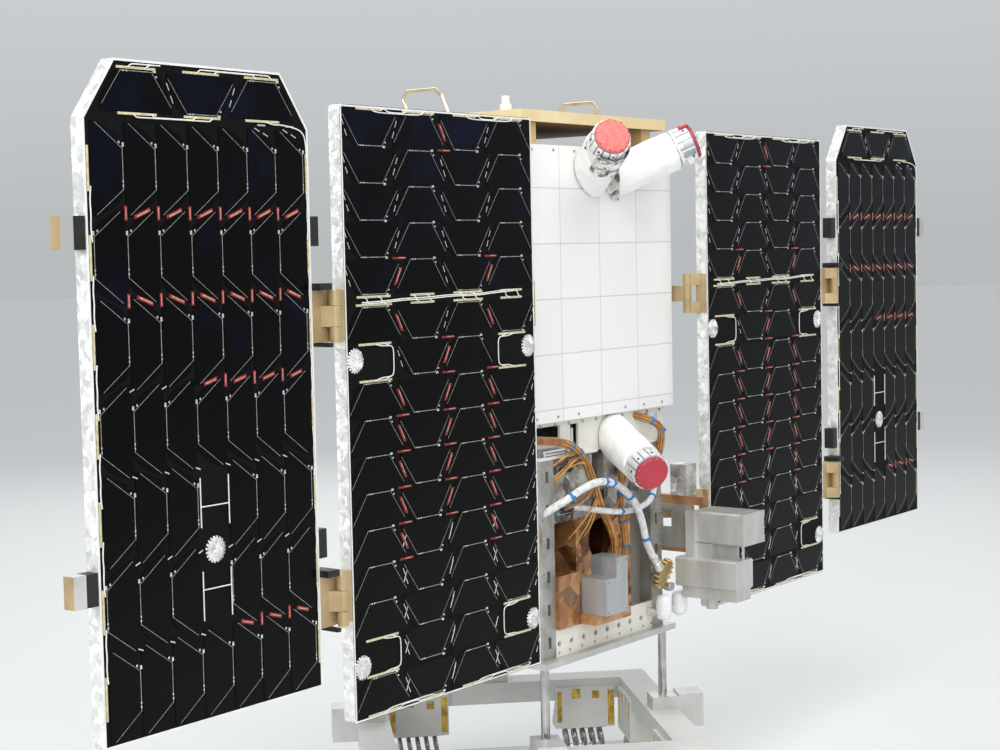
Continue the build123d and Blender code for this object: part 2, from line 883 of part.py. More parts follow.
def build_wings():
    both_sides("inner_panel", inner_panel())
    both_sides("outer_panel", outer_panel())
    discs = []
    for x in (inner_start + disc_inset, inner_end - disc_inset):
        for z in inner_disc_heights:
            discs.append(disc(x, z))
    both_sides("inner_hold_down_discs", *discs)
    both_sides("outer_hold_down_disc", disc(outer_middle, outer_disc_height))
    tabs = []
    blocks = []
    deep = (panel_front + 1, panel_back - 1)
    for rise in tab_rise:
        tall = (outer_floor + rise - tab_height / 2, outer_floor + rise + tab_height / 2)
        tabs.append(slab((outer_start - tab_reach, outer_start), deep, tall))
        tabs.append(slab((outer_end, outer_end + tab_reach), deep, tall))
        blocks.append(slab((outer_end + tab_reach, outer_end + tab_reach + tab_block_reach), deep, tall))
    both_sides("shoulder_tabs", *tabs)
    both_sides("shoulder_blocks", *blocks)


# Cell fields. Neighbours along the long side lie head to tail, so that their cut corners nest.
# Both wings have the same field, moved and not mirrored.

def cell(x, z, turn):
    """One cell on the front of a panel. At turn 0 its short side is at the bottom."""
    low = -cell_height / 2
    half = cell_long_side / 2
    short = half - cell_corner_width
    outline = Polygon(
        (-short, low),
        (short, low),
        (half, low + cell_corner_height),
        (half, -low),
        (-half, -low),
        (-half, low + cell_corner_height),
        align=None,
    )
    return upright(Pos(x, z) * Rot(0, 0, turn) * outline, panel_front, cell_thickness)


def centred(count, pitch):
    """Offsets of an even row around zero."""
    return [(number - (count - 1) / 2) * pitch for number in range(count)]


def how_many(space, size, pitch):
    """How many pieces of a size fit into a space at a pitch."""
    return max(1, int((space - size) / pitch + 1.001))


def clear_of(discs, x, z, half_width, half_height):
    """Whether a cell keeps clear of the discs, which are given by their places on the panel."""
    reach = disc_radius + disc_clearance
    return all(
        abs(x - disc_x) >= half_width + reach or abs(z - disc_z) >= half_height + reach for disc_x, disc_z in discs
    )


def inner_cells():
    """Rows of cells below each other with a strip for the wiring, less the places of the discs."""
    disc_offset = inner_width / 2 - disc_inset
    discs = [(side * disc_offset, height) for side in (-1, 1) for height in inner_disc_heights]
    columns = how_many(inner_width - 2 * cell_edge, cell_long_side, cell_pitch_long)
    strips = inner_top_strip + inner_bus_strip + len(inner_disc_heights) * inner_disc_strip
    lower_space = inner_height - strips - upper_rows * cell_pitch_short - 2 * cell_edge
    rows = upper_rows + how_many(lower_space, cell_height, cell_pitch_short)
    z = inner_floor + inner_height - inner_top_strip - cell_height / 2
    for row in range(rows):
        if row == upper_rows:
            z -= inner_bus_strip
        beside_disc = any(abs(z - height) < cell_pitch_short / 2 for height in inner_disc_heights)
        for number, offset in enumerate(centred(columns, cell_pitch_long)):
            if not clear_of(discs, offset, z, cell_long_side / 2, cell_height / 2):
                continue
            flip = (number + (row >= upper_rows)) % 2
            yield offset, z, 180 * flip
        z -= cell_pitch_short + (inner_disc_strip if beside_disc else 0)


def outer_cells():
    """Upright cells in rows of alternate direction, and a row of lying cells at the top."""
    columns = how_many(outer_width - 2 * cell_edge, cell_height, cell_pitch_short)
    top = outer_floor + outer_height - outer_strip - cell_height / 2
    for number, offset in enumerate(centred(outer_top_cells, cell_pitch_long)):
        yield offset, top, 180 * ((number + 1) % 2)
    first = top - cell_height / 2 - outer_strip - cell_long_side / 2
    rows = how_many(first + cell_long_side / 2 - outer_floor - cell_edge, cell_long_side, cell_pitch_long)
    for row in range(rows):
        z = first - row * cell_pitch_long
        for number, offset in enumerate(centred(columns, cell_pitch_short)):
            if not clear_of([(0, outer_disc_height)], offset, z, cell_height / 2, cell_long_side / 2):
                continue
            yield offset, z, 90 - 180 * (row % 2)


def build_cells():
    for side, sign in (("right", 1), ("left", -1)):
        write(f"inner_cells_{side}", *[cell(sign * inner_middle + x, z, turn) for x, z, turn in inner_cells()])
        write(f"outer_cells_{side}", *[cell(sign * outer_middle + x, z, turn) for x, z, turn in outer_cells()])


# Hinges. Each has a middle knuckle on one half and two outer knuckles on the other half.
middle_knuckle = hinge_height * 0.4
outer_knuckle = (hinge_height - middle_knuckle) / 2 - knuckle_gap


def knuckles(x, y, z, outside):
    """The knuckle solids of one half, around a vertical axis."""
    if not outside:
        return [bar((x, y, z), knuckle_radius, middle_knuckle, "Z", small_sides)]
    offset = (hinge_height - outer_knuckle) / 2
    return [bar((x, y, z + side * offset), knuckle_radius, outer_knuckle, "Z", small_sides) for side in (-1, 1)]


def knuckle_spans(z, outside):
    if not outside:
        return [(z - middle_knuckle / 2, z + middle_knuckle / 2)]
    half = hinge_height / 2
    return [(z - half, z - half + outer_knuckle), (z + half - outer_knuckle, z + half)]


def build_hinges():
    root_bus = []
    root_panel = []
    middle_inner = []
    middle_outer = []
    for z in hinge_heights:
        root_bus.append(root_half_on_bus(z))
        root_panel.append(root_half_on_panel(z))
        middle_inner.append(middle_half(z, -1, True))
        middle_outer.append(middle_half(z, 1, False))
    both_sides("root_hinge_bus", *root_bus)
    both_sides("root_hinge_panel", *root_panel)
    both_sides("middle_hinge_inner", *middle_inner)
    both_sides("middle_hinge_outer", *middle_outer)


def root_half_on_bus(z):
    """A foot on the side of the bus, an arm to the front and the middle knuckle, with the pin."""
    half = hinge_height / 2
    wall = bus_half_width if z > bus_floor else bay_half_width
    near = front + root_foot_setback
    foot = slab((wall, wall + hinge_plate), (near, near + root_foot_depth), (z - half, z + half))
    low, high = knuckle_spans(z, False)[0]
    outline = (
        (wall, near + root_arm_depth),
        (wall + hinge_plate, near + root_arm_depth),
        (root_axis_x + knuckle_radius / 2, root_axis_y + 2),
        (root_axis_x - knuckle_radius * 0.75, root_axis_y - knuckle_radius / 2),
        (wall + hinge_plate, near),
        (wall, near),
    )
    body = foot + prism(outline, low, high) + knuckles(root_axis_x, root_axis_y, z, False)[0]
    return body + bar((root_axis_x, root_axis_y, z), hinge_pin_radius, hinge_height, "Z", small_sides)


def root_half_on_panel(z):
    """A block on the inboard edge of the panel with the two outer knuckles, bored for the pin."""
    half = hinge_height / 2
    body = slab((inner_start - hinge_plate, inner_start), (panel_front + 1, panel_back - 1), (z - half, z + half))
    for knuckle in knuckles(root_axis_x, root_axis_y, z, True):
        body += knuckle
    outline = (
        (inner_start - hinge_plate, panel_back - root_axis_setback),
        (inner_start, panel_back - 1),
        (root_axis_x + 2, root_axis_y + knuckle_radius * 0.75),
        (root_axis_x - knuckle_radius / 2, root_axis_y - knuckle_radius / 2),
    )
    for low, high in knuckle_spans(z, True):
        body += prism(outline, low, high)
    return body - bore((root_axis_x, root_axis_y, z), hinge_pin_radius + hinge_clearance, hinge_height + 1, "Z")


def middle_half(z, side, outside):
    """A block on a panel edge that reaches towards the hinge line, with its knuckles in front."""
    half = hinge_height / 2
    edge = inner_end if side < 0 else outer_start
    face = middle_axis_x + side * middle_block_gap / 2
    body = slab(sorted((edge, face)), (panel_front, panel_back - 1), (z - half, z + half))
    outline = (
        (face + side * middle_arm_width, panel_front + 2),
        (face, panel_front + 2),
        (middle_axis_x, middle_axis_y + 2),
        (middle_axis_x + side * 5, middle_axis_y - knuckle_radius * 0.6),
    )
    for low, high in knuckle_spans(z, outside):
        body += prism(outline, low, high)
    for knuckle in knuckles(middle_axis_x, middle_axis_y, z, outside):
        body += knuckle
    if outside:
        clear = hinge_pin_radius + hinge_clearance
        return body - bore((middle_axis_x, middle_axis_y, z), clear, hinge_height + 1, "Z")
    return body + bar((middle_axis_x, middle_axis_y, z), hinge_pin_radius, hinge_height, "Z", small_sides)


build_stand()
build_bay()
build_bus()
build_lifting_plate()
build_bay_boxes()
build_outrigger()
build_trackers()
build_harness()
build_wings()
build_cells()
build_hinges()
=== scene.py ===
# %% [markdown]
# # A small satellite on its stand
#
# The object is a box-shaped satellite between two solar wings. It stands in a clean hall on a
# ground stand. The frame that is loaded here holds every rigid piece at its real size and place,
# in metres. This script gives the pieces their finishes, adds what is soft or thin, and sets up
# the light and the camera.

# %% Load the frame
import math
import random

import bmesh
import bpy
from mathutils import Matrix, Vector, noise
from mathutils.bvhtree import BVHTree


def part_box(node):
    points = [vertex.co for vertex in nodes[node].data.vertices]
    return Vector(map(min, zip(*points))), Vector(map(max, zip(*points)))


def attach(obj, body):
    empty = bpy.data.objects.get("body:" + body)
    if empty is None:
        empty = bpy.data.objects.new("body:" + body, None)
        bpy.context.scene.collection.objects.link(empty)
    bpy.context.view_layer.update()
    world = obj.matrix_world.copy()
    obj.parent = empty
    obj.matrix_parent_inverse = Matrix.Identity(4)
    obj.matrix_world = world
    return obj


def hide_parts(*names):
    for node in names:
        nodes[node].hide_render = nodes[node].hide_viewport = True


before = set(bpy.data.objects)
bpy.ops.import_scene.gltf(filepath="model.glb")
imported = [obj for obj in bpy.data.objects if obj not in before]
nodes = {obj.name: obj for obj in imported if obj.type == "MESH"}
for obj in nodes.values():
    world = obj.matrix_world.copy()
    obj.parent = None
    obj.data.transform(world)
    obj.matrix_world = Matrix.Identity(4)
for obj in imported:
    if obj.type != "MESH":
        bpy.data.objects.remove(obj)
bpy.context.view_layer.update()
print("nodes in the frame:", len(nodes))

# %% [markdown]
# ## Colours and nodes
#
# Colours are written as the hex values that a screen shows. Blender's shaders want linear light,
# so one function does the change. A second function adds a shader node with its settings and its
# links, so each material below reads as a short list of nodes.

# %% Colour and node helpers
def linear(hex_colour, alpha=1.0):
    """The linear colour of an sRGB hex value."""
    parts = [int(hex_colour[i:i + 2], 16) / 255 for i in (1, 3, 5)]
    return [p / 12.92 if p <= 0.04045 else ((p + 0.055) / 1.055) ** 2.4 for p in parts] + [alpha]


def add(tree, kind, links=None, **settings):
    """Adds a shader node. Settings name its properties or input sockets, and links feed sockets."""
    node = tree.nodes.new("ShaderNode" + kind)
    for name, value in settings.items():
        if hasattr(node, name):
            setattr(node, name, value)
        else:
            node.inputs[name.replace("_", " ")].default_value = value
    for name, source in (links or {}).items():
        socket = node.inputs[name] if isinstance(name, int) else node.inputs[name.replace("_", " ")]
        tree.links.new(source, socket)
    return node


def new_material(name, **shader_values):
    """An empty material with a Principled shader, and its tree and shader."""
    material = bpy.data.materials.new(name)
    material.use_nodes = True
    tree = material.node_tree
    tree.nodes.clear()
    output = add(tree, "OutputMaterial")
    shader = add(tree, "BsdfPrincipled")
    for socket, value in shader_values.items():
        shader.inputs[socket.replace("_", " ")].default_value = value
    tree.links.new(shader.outputs[0], output.inputs["Surface"])
    return material, tree, shader


print("linear white:", linear("#ffffff"))

# %% [markdown]
# ## Camera
#
# The camera was found from the corners of the solar cells in the photograph, which are a perfect
# grid of known proportions. It stands left of the satellite at chest height and looks slightly
# down and to the right.

# %% Camera
camera_place = Vector((-2.1523, -1.6404, 0.8421))
camera_right = Vector((0.60980, -0.79228, -0.02086))
camera_forward = Vector((0.78967, 0.60961, -0.06918))
camera_up = Vector((0.06753, 0.02572, 0.99739))
focal_pixels = 1801.8
picture_width = 1000

camera_data = bpy.data.cameras.new("camera")
camera_data.sensor_width = 36.0
camera_data.lens = focal_pixels / picture_width * camera_data.sensor_width
camera = bpy.data.objects.new("camera", camera_data)
bpy.context.scene.collection.objects.link(camera)
turn = Matrix((camera_right, camera_up, -camera_forward)).transposed()
camera.matrix_world = Matrix.Translation(camera_place) @ turn.to_4x4()
bpy.context.scene.camera = camera
print("lens in mm:", round(camera_data.lens, 2))

# %% [markdown]
# ## Surface recipes
#
# Most surfaces here are one of two kinds. A plain one has a slow change of tone, a fine grain and
# uneven gloss. A crinkled one is a thin film that has been folded by hand. It is cut into cells,
# and each cell is a flat facet that leans at random. The lean comes from the cell's own random
# colour, and smaller facets lie on the large ones. Sizes are real: a scale of 50 means that the
# pattern repeats about every 20 mm.
# The same random colour also sets part of each large facet's tone, so its brightness follows its lean: a
# painted reflection.

# %% Recipes
def tones(tree, source, dark, light, low=0.3, high=0.7):
    """A colour between two hex tones, chosen by a grey value."""
    ramp = add(tree, "ValToRGB", {"Fac": source})
    ramp.color_ramp.elements[0].position = low
    ramp.color_ramp.elements[0].color = linear(dark)
    ramp.color_ramp.elements[1].position = high
    ramp.color_ramp.elements[1].color = linear(light)
    return ramp.outputs["Color"]


def object_space(tree, stretch=(1, 1, 1)):
    """Object coordinates in metres, stretched where a grain runs one way."""
    place = add(tree, "TexCoord")
    mapping = add(tree, "Mapping", {"Vector": place.outputs["Object"]})
    mapping.inputs["Scale"].default_value = stretch
    return mapping.outputs["Vector"]


def noisy(tree, vector, scale, detail, roughness=0.5):
    """A noise texture in real size."""
    return add(tree, "TexNoise", {"Vector": vector}, Scale=scale, Detail=detail, Roughness=roughness)


def spread(tree, source, low, high):
    """A grey value moved into the range from low to high."""
    ranged = add(tree, "MapRange", {"Value": source})
    ranged.inputs["To Min"].default_value = low
    ranged.inputs["To Max"].default_value = high
    return ranged.outputs["Result"]


def bumped(tree, shader, height, strength, distance):
    """Feeds a height to a shader as its bump."""
    bump = add(tree, "Bump", {"Height": height}, Strength=strength, Distance=distance)
    tree.links.new(bump.outputs[0], shader.inputs["Normal"])


def plain(
    name, dark, light, rough=(0.35, 0.5), scale=18, grain=900, grain_height=0.03, stretch=(1, 1, 1),
    **values,
):
    """A surface with a slow change of tone, a fine grain and uneven gloss."""
    material, tree, shader = new_material(name, **values)
    vector = object_space(tree, stretch)
    slow = noisy(tree, vector, scale, 5, 0.6)
    fine = noisy(tree, vector, grain, 2)
    tree.links.new(tones(tree, slow.outputs[0], dark, light), shader.inputs["Base Color"])
    tree.links.new(spread(tree, slow.outputs[0], *rough), shader.inputs["Roughness"])
    bumped(tree, shader, fine.outputs[0], grain_height, 0.0004)
    return material


def vector_math(tree, operation, first, second):
    """A vector node. Its second value is a link or three fixed numbers."""
    node = add(tree, "VectorMath", {0: first}, operation=operation)
    if isinstance(second, tuple):
        node.inputs[1].default_value = second
    else:
        tree.links.new(second, node.inputs[1])
    return node


def crinkled(name, dark, light, rough=(0.12, 0.3), creases=28, strength=0.5, **values):
    """A thin folded film: flat facets that lean at random, and smaller ones on them."""
    material, tree, shader = new_material(name, **values)
    vector = object_space(tree)
    warp = noisy(tree, vector, creases * 0.7, 2)
    reach = 0.35 / creases
    moved = vector_math(tree, "MULTIPLY_ADD", warp.outputs["Color"], (reach, reach, reach))
    tree.links.new(vector, moved.inputs[2])
    slopes = []
    for scale in (creases, creases * 2.7):
        facets = add(tree, "TexVoronoi", {"Vector": moved.outputs[0]}, Scale=scale)
        colour = facets.outputs["Color"]
        offset = vector_math(tree, "SUBTRACT", moved.outputs[0], facets.outputs["Position"])
        lean = vector_math(tree, "SUBTRACT", colour, (0.5, 0.5, 0.5))
        slope = vector_math(tree, "DOT_PRODUCT", offset.outputs[0], lean.outputs[0])
        slopes.append((slope.outputs["Value"], colour))
    height = add(tree, "Math", {0: slopes[1][0], 2: slopes[0][0]}, operation="MULTIPLY_ADD")
    height.inputs[1].default_value = 0.5
    tint = noisy(tree, vector, creases * 0.8, 4, 0.55)
    # Each large facet's random colour, which also sets its lean, is mixed into the tone: a painted
    # reflection that follows the lean.
    tint_and_facet_reflection = add(tree, "MixRGB", {1: tint.outputs[0], 2: slopes[0][1]}, Fac=0.35)
    tree.links.new(tones(tree, tint_and_facet_reflection.outputs[0], dark, light, 0.36, 0.64), shader.inputs["Base Color"])
    tree.links.new(spread(tree, tint.outputs[0], *rough), shader.inputs["Roughness"])
    bumped(tree, shader, height.outputs[0], strength, 1.0)
    return material


print("a sample of linear kapton:", [round(value, 3) for value in linear("#c9965f")[:3]])

# %% [markdown]
# The tones below were chosen under the lamps that this scene has. Each line gives a dark
# and a light tone, and then the gloss as a range of roughness.

# %% Metals and paints
aluminium = plain("milled_aluminium", "#b7b7b4", "#d2d2cf", (0.34, 0.5), Metallic=0.6)
bright_aluminium = plain("bright_aluminium", "#d2d2d0", "#ececea", (0.22, 0.36), Metallic=0.8)
box_metal = plain(
    "machined_box", "#a6a9ad", "#c6c9cc", (0.26, 0.4), scale=22, grain=600, grain_height=0.1,
    stretch=(1, 1, 0.15), Metallic=0.6,
)
ring_metal = plain("white_anodised", "#dcdcda", "#f4f4f2", (0.25, 0.4), scale=60, Metallic=0.35)
satin_aluminium = plain(
    "satin_aluminium", "#b3b2ae", "#d8d8d5", (0.3, 0.46), scale=20, grain=500, grain_height=0.1,
    stretch=(1, 1, 0.3), Metallic=0.45,
)
# A darker aluminium for the bay columns and the window bracket.
darker_aluminium = plain(
    "darker_aluminium", "#8c8b85", "#bdbcb6", (0.32, 0.5), scale=34, Metallic=0.55,
)
copper_film = plain("copper_film", "#8f6240", "#bf8f66", (0.26, 0.42), scale=34, Metallic=0.35)
alodine = plain("alodined_aluminium", "#a8916a", "#cdb58b", (0.4, 0.56), Metallic=0.35)
plate_gold = plain("alodined_plate", "#e0c68a", "#f0deb2", (0.4, 0.55), scale=9, Metallic=0.1)
spacer_gold = plain("alodined_spacer", "#cfae6c", "#e3c68c", (0.4, 0.55), scale=20, Metallic=0.2)
warm_steel = plain("warm_steel_rod", "#b9a98a", "#ddd0b4", (0.14, 0.26), scale=60, Metallic=1.0)
rope_steel = plain(
    "wire_rope", "#6c6c6a", "#c6c6c2", (0.2, 0.35), scale=420, grain=900, grain_height=0.5, Metallic=0.9,
)
steel = plain("polished_steel", "#9c9c9c", "#c6c6c4", (0.14, 0.28), scale=40, Metallic=1.0)
stand_paint = plain("stand_paint", "#c6c7c4", "#dcdcd8", (0.42, 0.6), scale=7, grain=1400, grain_height=0.06)
dark_paint = plain("dark_hardware", "#0e0e0f", "#1a1a1b", (0.4, 0.6))
white_plastic = plain("white_plastic", "#e9e9ea", "#f8f8f8", (0.22, 0.34), scale=30)
white_paint = plain("white_paint", "#e6e6e2", "#f4f4f1", (0.45, 0.6), scale=5, grain=1600, grain_height=0.05)
rail_paint = plain("primed_rail", "#dedbd0", "#efede5", (0.42, 0.6), scale=12)
laminate = plain(
    "carbon_laminate", "#070707", "#0f0f0f", (0.55, 0.7), scale=14, grain=700, grain_height=0.08,
    Specular_IOR_Level=0.1,
)
rim_white = plain("rim_tape", "#dedfde", "#f2f2f0", (0.35, 0.5), scale=60)
gold = plain("gold_plate", "#9c7f48", "#cdb37c", (0.24, 0.38), scale=90, Metallic=0.7)
coral = plain("coral_cap", "#e85a55", "#ff837c", (0.35, 0.5), scale=220, grain=500, grain_height=0.2)
deep_red = plain("red_cap", "#a82a3c", "#c23a4b", (0.3, 0.45), scale=30)
print("metals and paints:", len(bpy.data.materials))

# %% Wires, inks and films
silver_ink = plain("silver_grid", "#77776f", "#b4b4ac", (0.3, 0.5), scale=260, Metallic=0.3)
solder = plain("solder", "#d8d8d4", "#f3f3ee", (0.15, 0.3), scale=300, Metallic=0.85)
diode_red = plain("diode_red", "#62120f", "#94241d", (0.3, 0.45), scale=200)
diode_pink = plain("diode_lead", "#a86a60", "#d29a8e", (0.3, 0.45), scale=200)
cream = plain("terminal_strip", "#b7aa7e", "#e3d9b4", (0.35, 0.5), scale=240)
wire_white = plain("wire_white", "#dcdcd4", "#f1f1ec", (0.4, 0.5), scale=200)
amber_wire = plain("amber_wire", "#b3762a", "#e2b05c", (0.22, 0.36), scale=90, Coat_Weight=0.4)
brown_wire = plain("brown_wire", "#74401a", "#a86c32", (0.24, 0.38), scale=90, Coat_Weight=0.4)
lacing_blue = plain("blue_lacing", "#1f5fa8", "#4a93d6", (0.6, 0.8), scale=150)
connector_grey = plain("connector_shell", "#8a9098", "#aeb4ba", (0.3, 0.45), scale=80, Metallic=0.6)
# A brown for the underside of the lifting plate: painted shade.
underside_shade = plain("painted_underside_shade", "#6f5235", "#94704a", (0.6, 0.8), scale=60)
kapton = crinkled("kapton_film", "#84502a", "#c9965f", (0.08, 0.22), 30, 0.85, Metallic=0.5, Coat_Weight=0.6)
bay_film = crinkled("aluminised_film", "#75736d", "#d6d4cd", (0.14, 0.34), 46, 0.6, Metallic=0.5)
# A darker copy of the kapton: painted shade for the recess of the tank box's opening.
shaded_kapton = crinkled("shaded_kapton", "#2a150b", "#5a3118", (0.14, 0.3), 17, 0.5, Coat_Weight=0.4)
silver_tape = crinkled("silver_edge_tape", "#dcdcd9", "#f8f8f6", (0.2, 0.4), 120, 0.5, Metallic=0.3)
tape_amber = crinkled("amber_tape", "#a67c18", "#e0bb48", (0.14, 0.3), 90, 0.5, Coat_Weight=0.5)
foil = crinkled("crinkled_foil", "#8f8f8d", "#f2f2f0", (0.1, 0.24), 60, 0.7, Metallic=0.8)
disc_foil = crinkled("disc_foil", "#cfcfcc", "#ffffff", (0.12, 0.26), 150, 0.8, Metallic=0.3)
# A darker copy of the foil, for patches of painted shade on the collar and the fold.
dark_foil = crinkled("shaded_foil", "#2c2c2b", "#a5a5a1", (0.14, 0.3), 60, 0.8, Metallic=0.7)
print("materials so far:", len(bpy.data.materials))

# %% [markdown]
# ## White blanket cloth
#
# The trackers wear a sewn white blanket, and the white cables a sleeve. Their weave is a fine
# cross of threads with a soft sheen. Small folds are a bump. The larger folds of the blankets are
# real shape and come further below.

# %% Woven white cloth
def woven(name, dark, light, thread, fold_strength=0.35, fold_scale=55):
    """White cloth with crossed threads and slow folds."""
    material, tree, shader = new_material(name, Roughness=0.78, Sheen_Weight=0.35)
    vector = object_space(tree)
    warp = add(tree, "TexWave", {"Vector": vector}, Scale=thread, Distortion=0.6)
    warp.bands_direction = "X"
    weft = add(tree, "TexWave", {"Vector": vector}, Scale=thread, Distortion=0.6)
    weft.bands_direction = "Z"
    threads = {0: warp.outputs["Fac"], 1: weft.outputs["Fac"]}
    crossed = add(tree, "Math", threads, operation="MULTIPLY")
    slow = noisy(tree, vector, fold_scale, 5, 0.6)
    tree.links.new(tones(tree, slow.outputs[0], dark, light), shader.inputs["Base Color"])
    fine = add(tree, "Bump", {"Height": crossed.outputs[0]}, Strength=0.12, Distance=0.0003)
    folds = add(tree, "Bump", {"Height": slow.outputs[0], "Normal": fine.outputs[0]})
    folds.inputs["Strength"].default_value = fold_strength
    folds.inputs["Distance"].default_value = 0.003
    tree.links.new(folds.outputs[0], shader.inputs["Normal"])
    return material


blanket = woven("white_blanket_cloth", "#ebebe8", "#fbfbf9", 330)
# A darker copy of the blanket cloth: painted shade for the gathered fold.
shaded_cloth = woven("shaded_cloth", "#a3a39e", "#e6e6e2", 330, 0.9)
sleeve = woven("white_cable_sleeve", "#c4c4c4", "#fafaf8", 420, 1.0, 130)
print("cloth materials:", blanket.name, sleeve.name)

# %% [markdown]
# ## Radiator tiles and solar cells
#
# The radiator is covered with white tiles. Only the pale seams between them show, so the tiles are
# a brick pattern without an offset, at their real size. A solar cell is almost black with a blue
# depth under a clear cover. It has a faint coat, and its blue changes from cell to cell: higher
# cells are bluer, a painted reflection, and a random part varies from cell to cell. That change is
# stored on the cells' own faces.

# %% Radiator and cell materials
radiator_width = 0.386
tile_width = 0.0965
tile_height = 0.0772


def radiator_tiles():
    """White tiles with thin pale grey seams."""
    material, tree, shader = new_material("radiator_tiles", Roughness=0.32, Coat_Weight=0.25)
    place = add(tree, "TexCoord")
    parts = add(tree, "SeparateXYZ", {0: place.outputs["Object"]})
    flat = add(tree, "CombineXYZ", {0: parts.outputs["X"], 1: parts.outputs["Z"]})
    tiles = add(tree, "TexBrick", {"Vector": flat.outputs[0]})
    tiles.offset = 0.0
    tiles.squash = 1.0
    values = {
        "Scale": 1.0, "Mortar Size": 0.0007, "Mortar Smooth": 0.3, "Brick Width": tile_width,
        "Row Height": tile_height, "Color1": linear("#f3f3f1"), "Color2": linear("#ededea"),
        "Mortar": linear("#c3c4c3"),
    }
    for socket, value in values.items():
        tiles.inputs[socket].default_value = value
    tree.links.new(tiles.outputs["Color"], shader.inputs["Base Color"])
    bumped(tree, shader, tiles.outputs["Fac"], 0.3, -0.0004)
    return material


def cell_glass():
    """Nearly black silicon under a clear cover, bluer on some cells and most of all on the higher ones,
    where the blue is a painted reflection.
    """
    material, tree, shader = new_material(
        "solar_cell", Roughness=0.22, Specular_IOR_Level=0.08, Coat_Weight=0.04, Coat_Roughness=0.08,
    )
    shade = add(tree, "Attribute", attribute_name="shade")
    vector = object_space(tree)
    cloud = noisy(tree, vector, 16, 3)
    factors = {0: shade.outputs["Fac"], 1: cloud.outputs[0]}
    weight = add(tree, "Math", factors, operation="MULTIPLY")
    depth = tones(tree, weight.outputs[0], "#030304", "#0a0f2c", 0.4, 0.95)
    tree.links.new(depth, shader.inputs["Base Color"])
    fine = noisy(tree, vector, 60, 2)
    bumped(tree, shader, fine.outputs[0], 0.05, 0.001)
    return material


tile_white = radiator_tiles()
cell_material = cell_glass()
print("tile columns across the radiator:", round(radiator_width / tile_width))

# %% [markdown]
# ## Mesh helpers
#
# The pieces below are written in millimetres, as on a drawing, and scaled to metres when they
# become objects. A small part is made at the origin and then merged into a larger mesh at its
# place.

# %% Mesh helpers
MM = 0.001


def piece(name, body, bm, *materials, smooth_angle=35.0):
    """Turns a bmesh in millimetres into an object that moves with a body."""
    bmesh.ops.recalc_face_normals(bm, faces=bm.faces)
    bmesh.ops.scale(bm, vec=(MM, MM, MM), verts=bm.verts)
    mesh = bpy.data.meshes.new(name)
    bm.to_mesh(mesh)
    bm.free()
    for material in materials:
        mesh.materials.append(material)
    mesh.shade_smooth()
    mesh.set_sharp_from_angle(angle=math.radians(smooth_angle))
    made = bpy.data.objects.new(name, mesh)
    bpy.context.scene.collection.objects.link(made)
    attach(made, body)
    return made


def merge(bm, part, matrix=None, material=0):
    """Adds a small bmesh to a larger one, at a place."""
    if matrix is not None:
        bmesh.ops.transform(part, matrix=matrix, verts=part.verts)
    for face in part.faces:
        face.material_index = material
    mesh = bpy.data.meshes.new("part")
    part.to_mesh(mesh)
    part.free()
    bm.from_mesh(mesh)
    bpy.data.meshes.remove(mesh)


def block(bm, low, high, edge=0.0, matrix=None, material=0):
    """A box between two corners, with bevelled edges where edge is above zero."""
    low = Vector(low)
    high = Vector(high)
    size = high - low
    part = bmesh.new()
    at = Matrix.Translation((low + high) / 2) @ Matrix.Diagonal((*size, 1))
    bmesh.ops.create_cube(part, size=1, matrix=at)
    if edge:
        bmesh.ops.bevel(
            part, geom=part.edges, offset=edge, offset_type="OFFSET", segments=2, profile=0.5,
            affect="EDGES", material=-1, clamp_overlap=True,
        )
    merge(bm, part, matrix, material)


def turned(bm, profile, matrix, steps=40, material=0):
    """Spins an outline of (radius, height) points around the Z axis of a place."""
    part = bmesh.new()
    verts = [part.verts.new((radius, 0, height)) for radius, height in profile]
    edges = [part.edges.new(pair) for pair in zip(verts, verts[1:])]
    bmesh.ops.spin(
        part, geom=verts + edges, cent=(0, 0, 0), axis=(0, 0, 1), angle=2 * math.pi, steps=steps,
        use_merge=True,
    )
    bmesh.ops.remove_doubles(part, verts=part.verts, dist=0.001)
    merge(bm, part, matrix, material)


print("helpers for boxes and turned parts are ready, one millimetre is", MM)

# %% [markdown]
# A place is a matrix. These helpers aim it, step it around a circle and put a screw on it.

# %% Places and screws
def aimed(place, direction):
    """A place whose Z axis points along a direction."""
    rotation = Vector(direction).to_track_quat("Z", "Y").to_matrix().to_4x4()
    return Matrix.Translation(Vector(place)) @ rotation


def spun(at, number, count):
    """One of count places around the Z axis of a place."""
    return at @ Matrix.Rotation(2 * math.pi * number / count, 4, "Z")


def raised(bm, faces, height):
    """Lifts flat faces into a plate."""
    up = bmesh.ops.extrude_face_region(bm, geom=faces)
    moved = [item for item in up["geom"] if isinstance(item, bmesh.types.BMVert)]
    bmesh.ops.translate(bm, vec=(0, 0, height), verts=moved)


screw_sides = 12


def bolt(bm, place, direction, radius=2.6, height=2.2, material=0):
    """A socket-head screw: a bevelled head with a six-sided socket."""
    inner = radius * 0.55
    profile = (
        (inner, 0.3), (inner, height * 0.95), (radius * 0.86, height), (radius, height * 0.8), (radius, 0),
    )
    turned(bm, profile, aimed(place, direction), steps=screw_sides, material=material)
    part = bmesh.new()
    bmesh.ops.create_circle(part, cap_ends=True, segments=6, radius=inner * 1.05)
    merge(bm, part, aimed(place, direction) @ Matrix.Translation((0, 0, height * 0.45)), material)


print("sides of a screw head:", screw_sides)

# %% [markdown]
# A wire is a curve with a round thickness. Two more helpers give a node of the frame its
# materials, by the way that each face looks where it needs two.

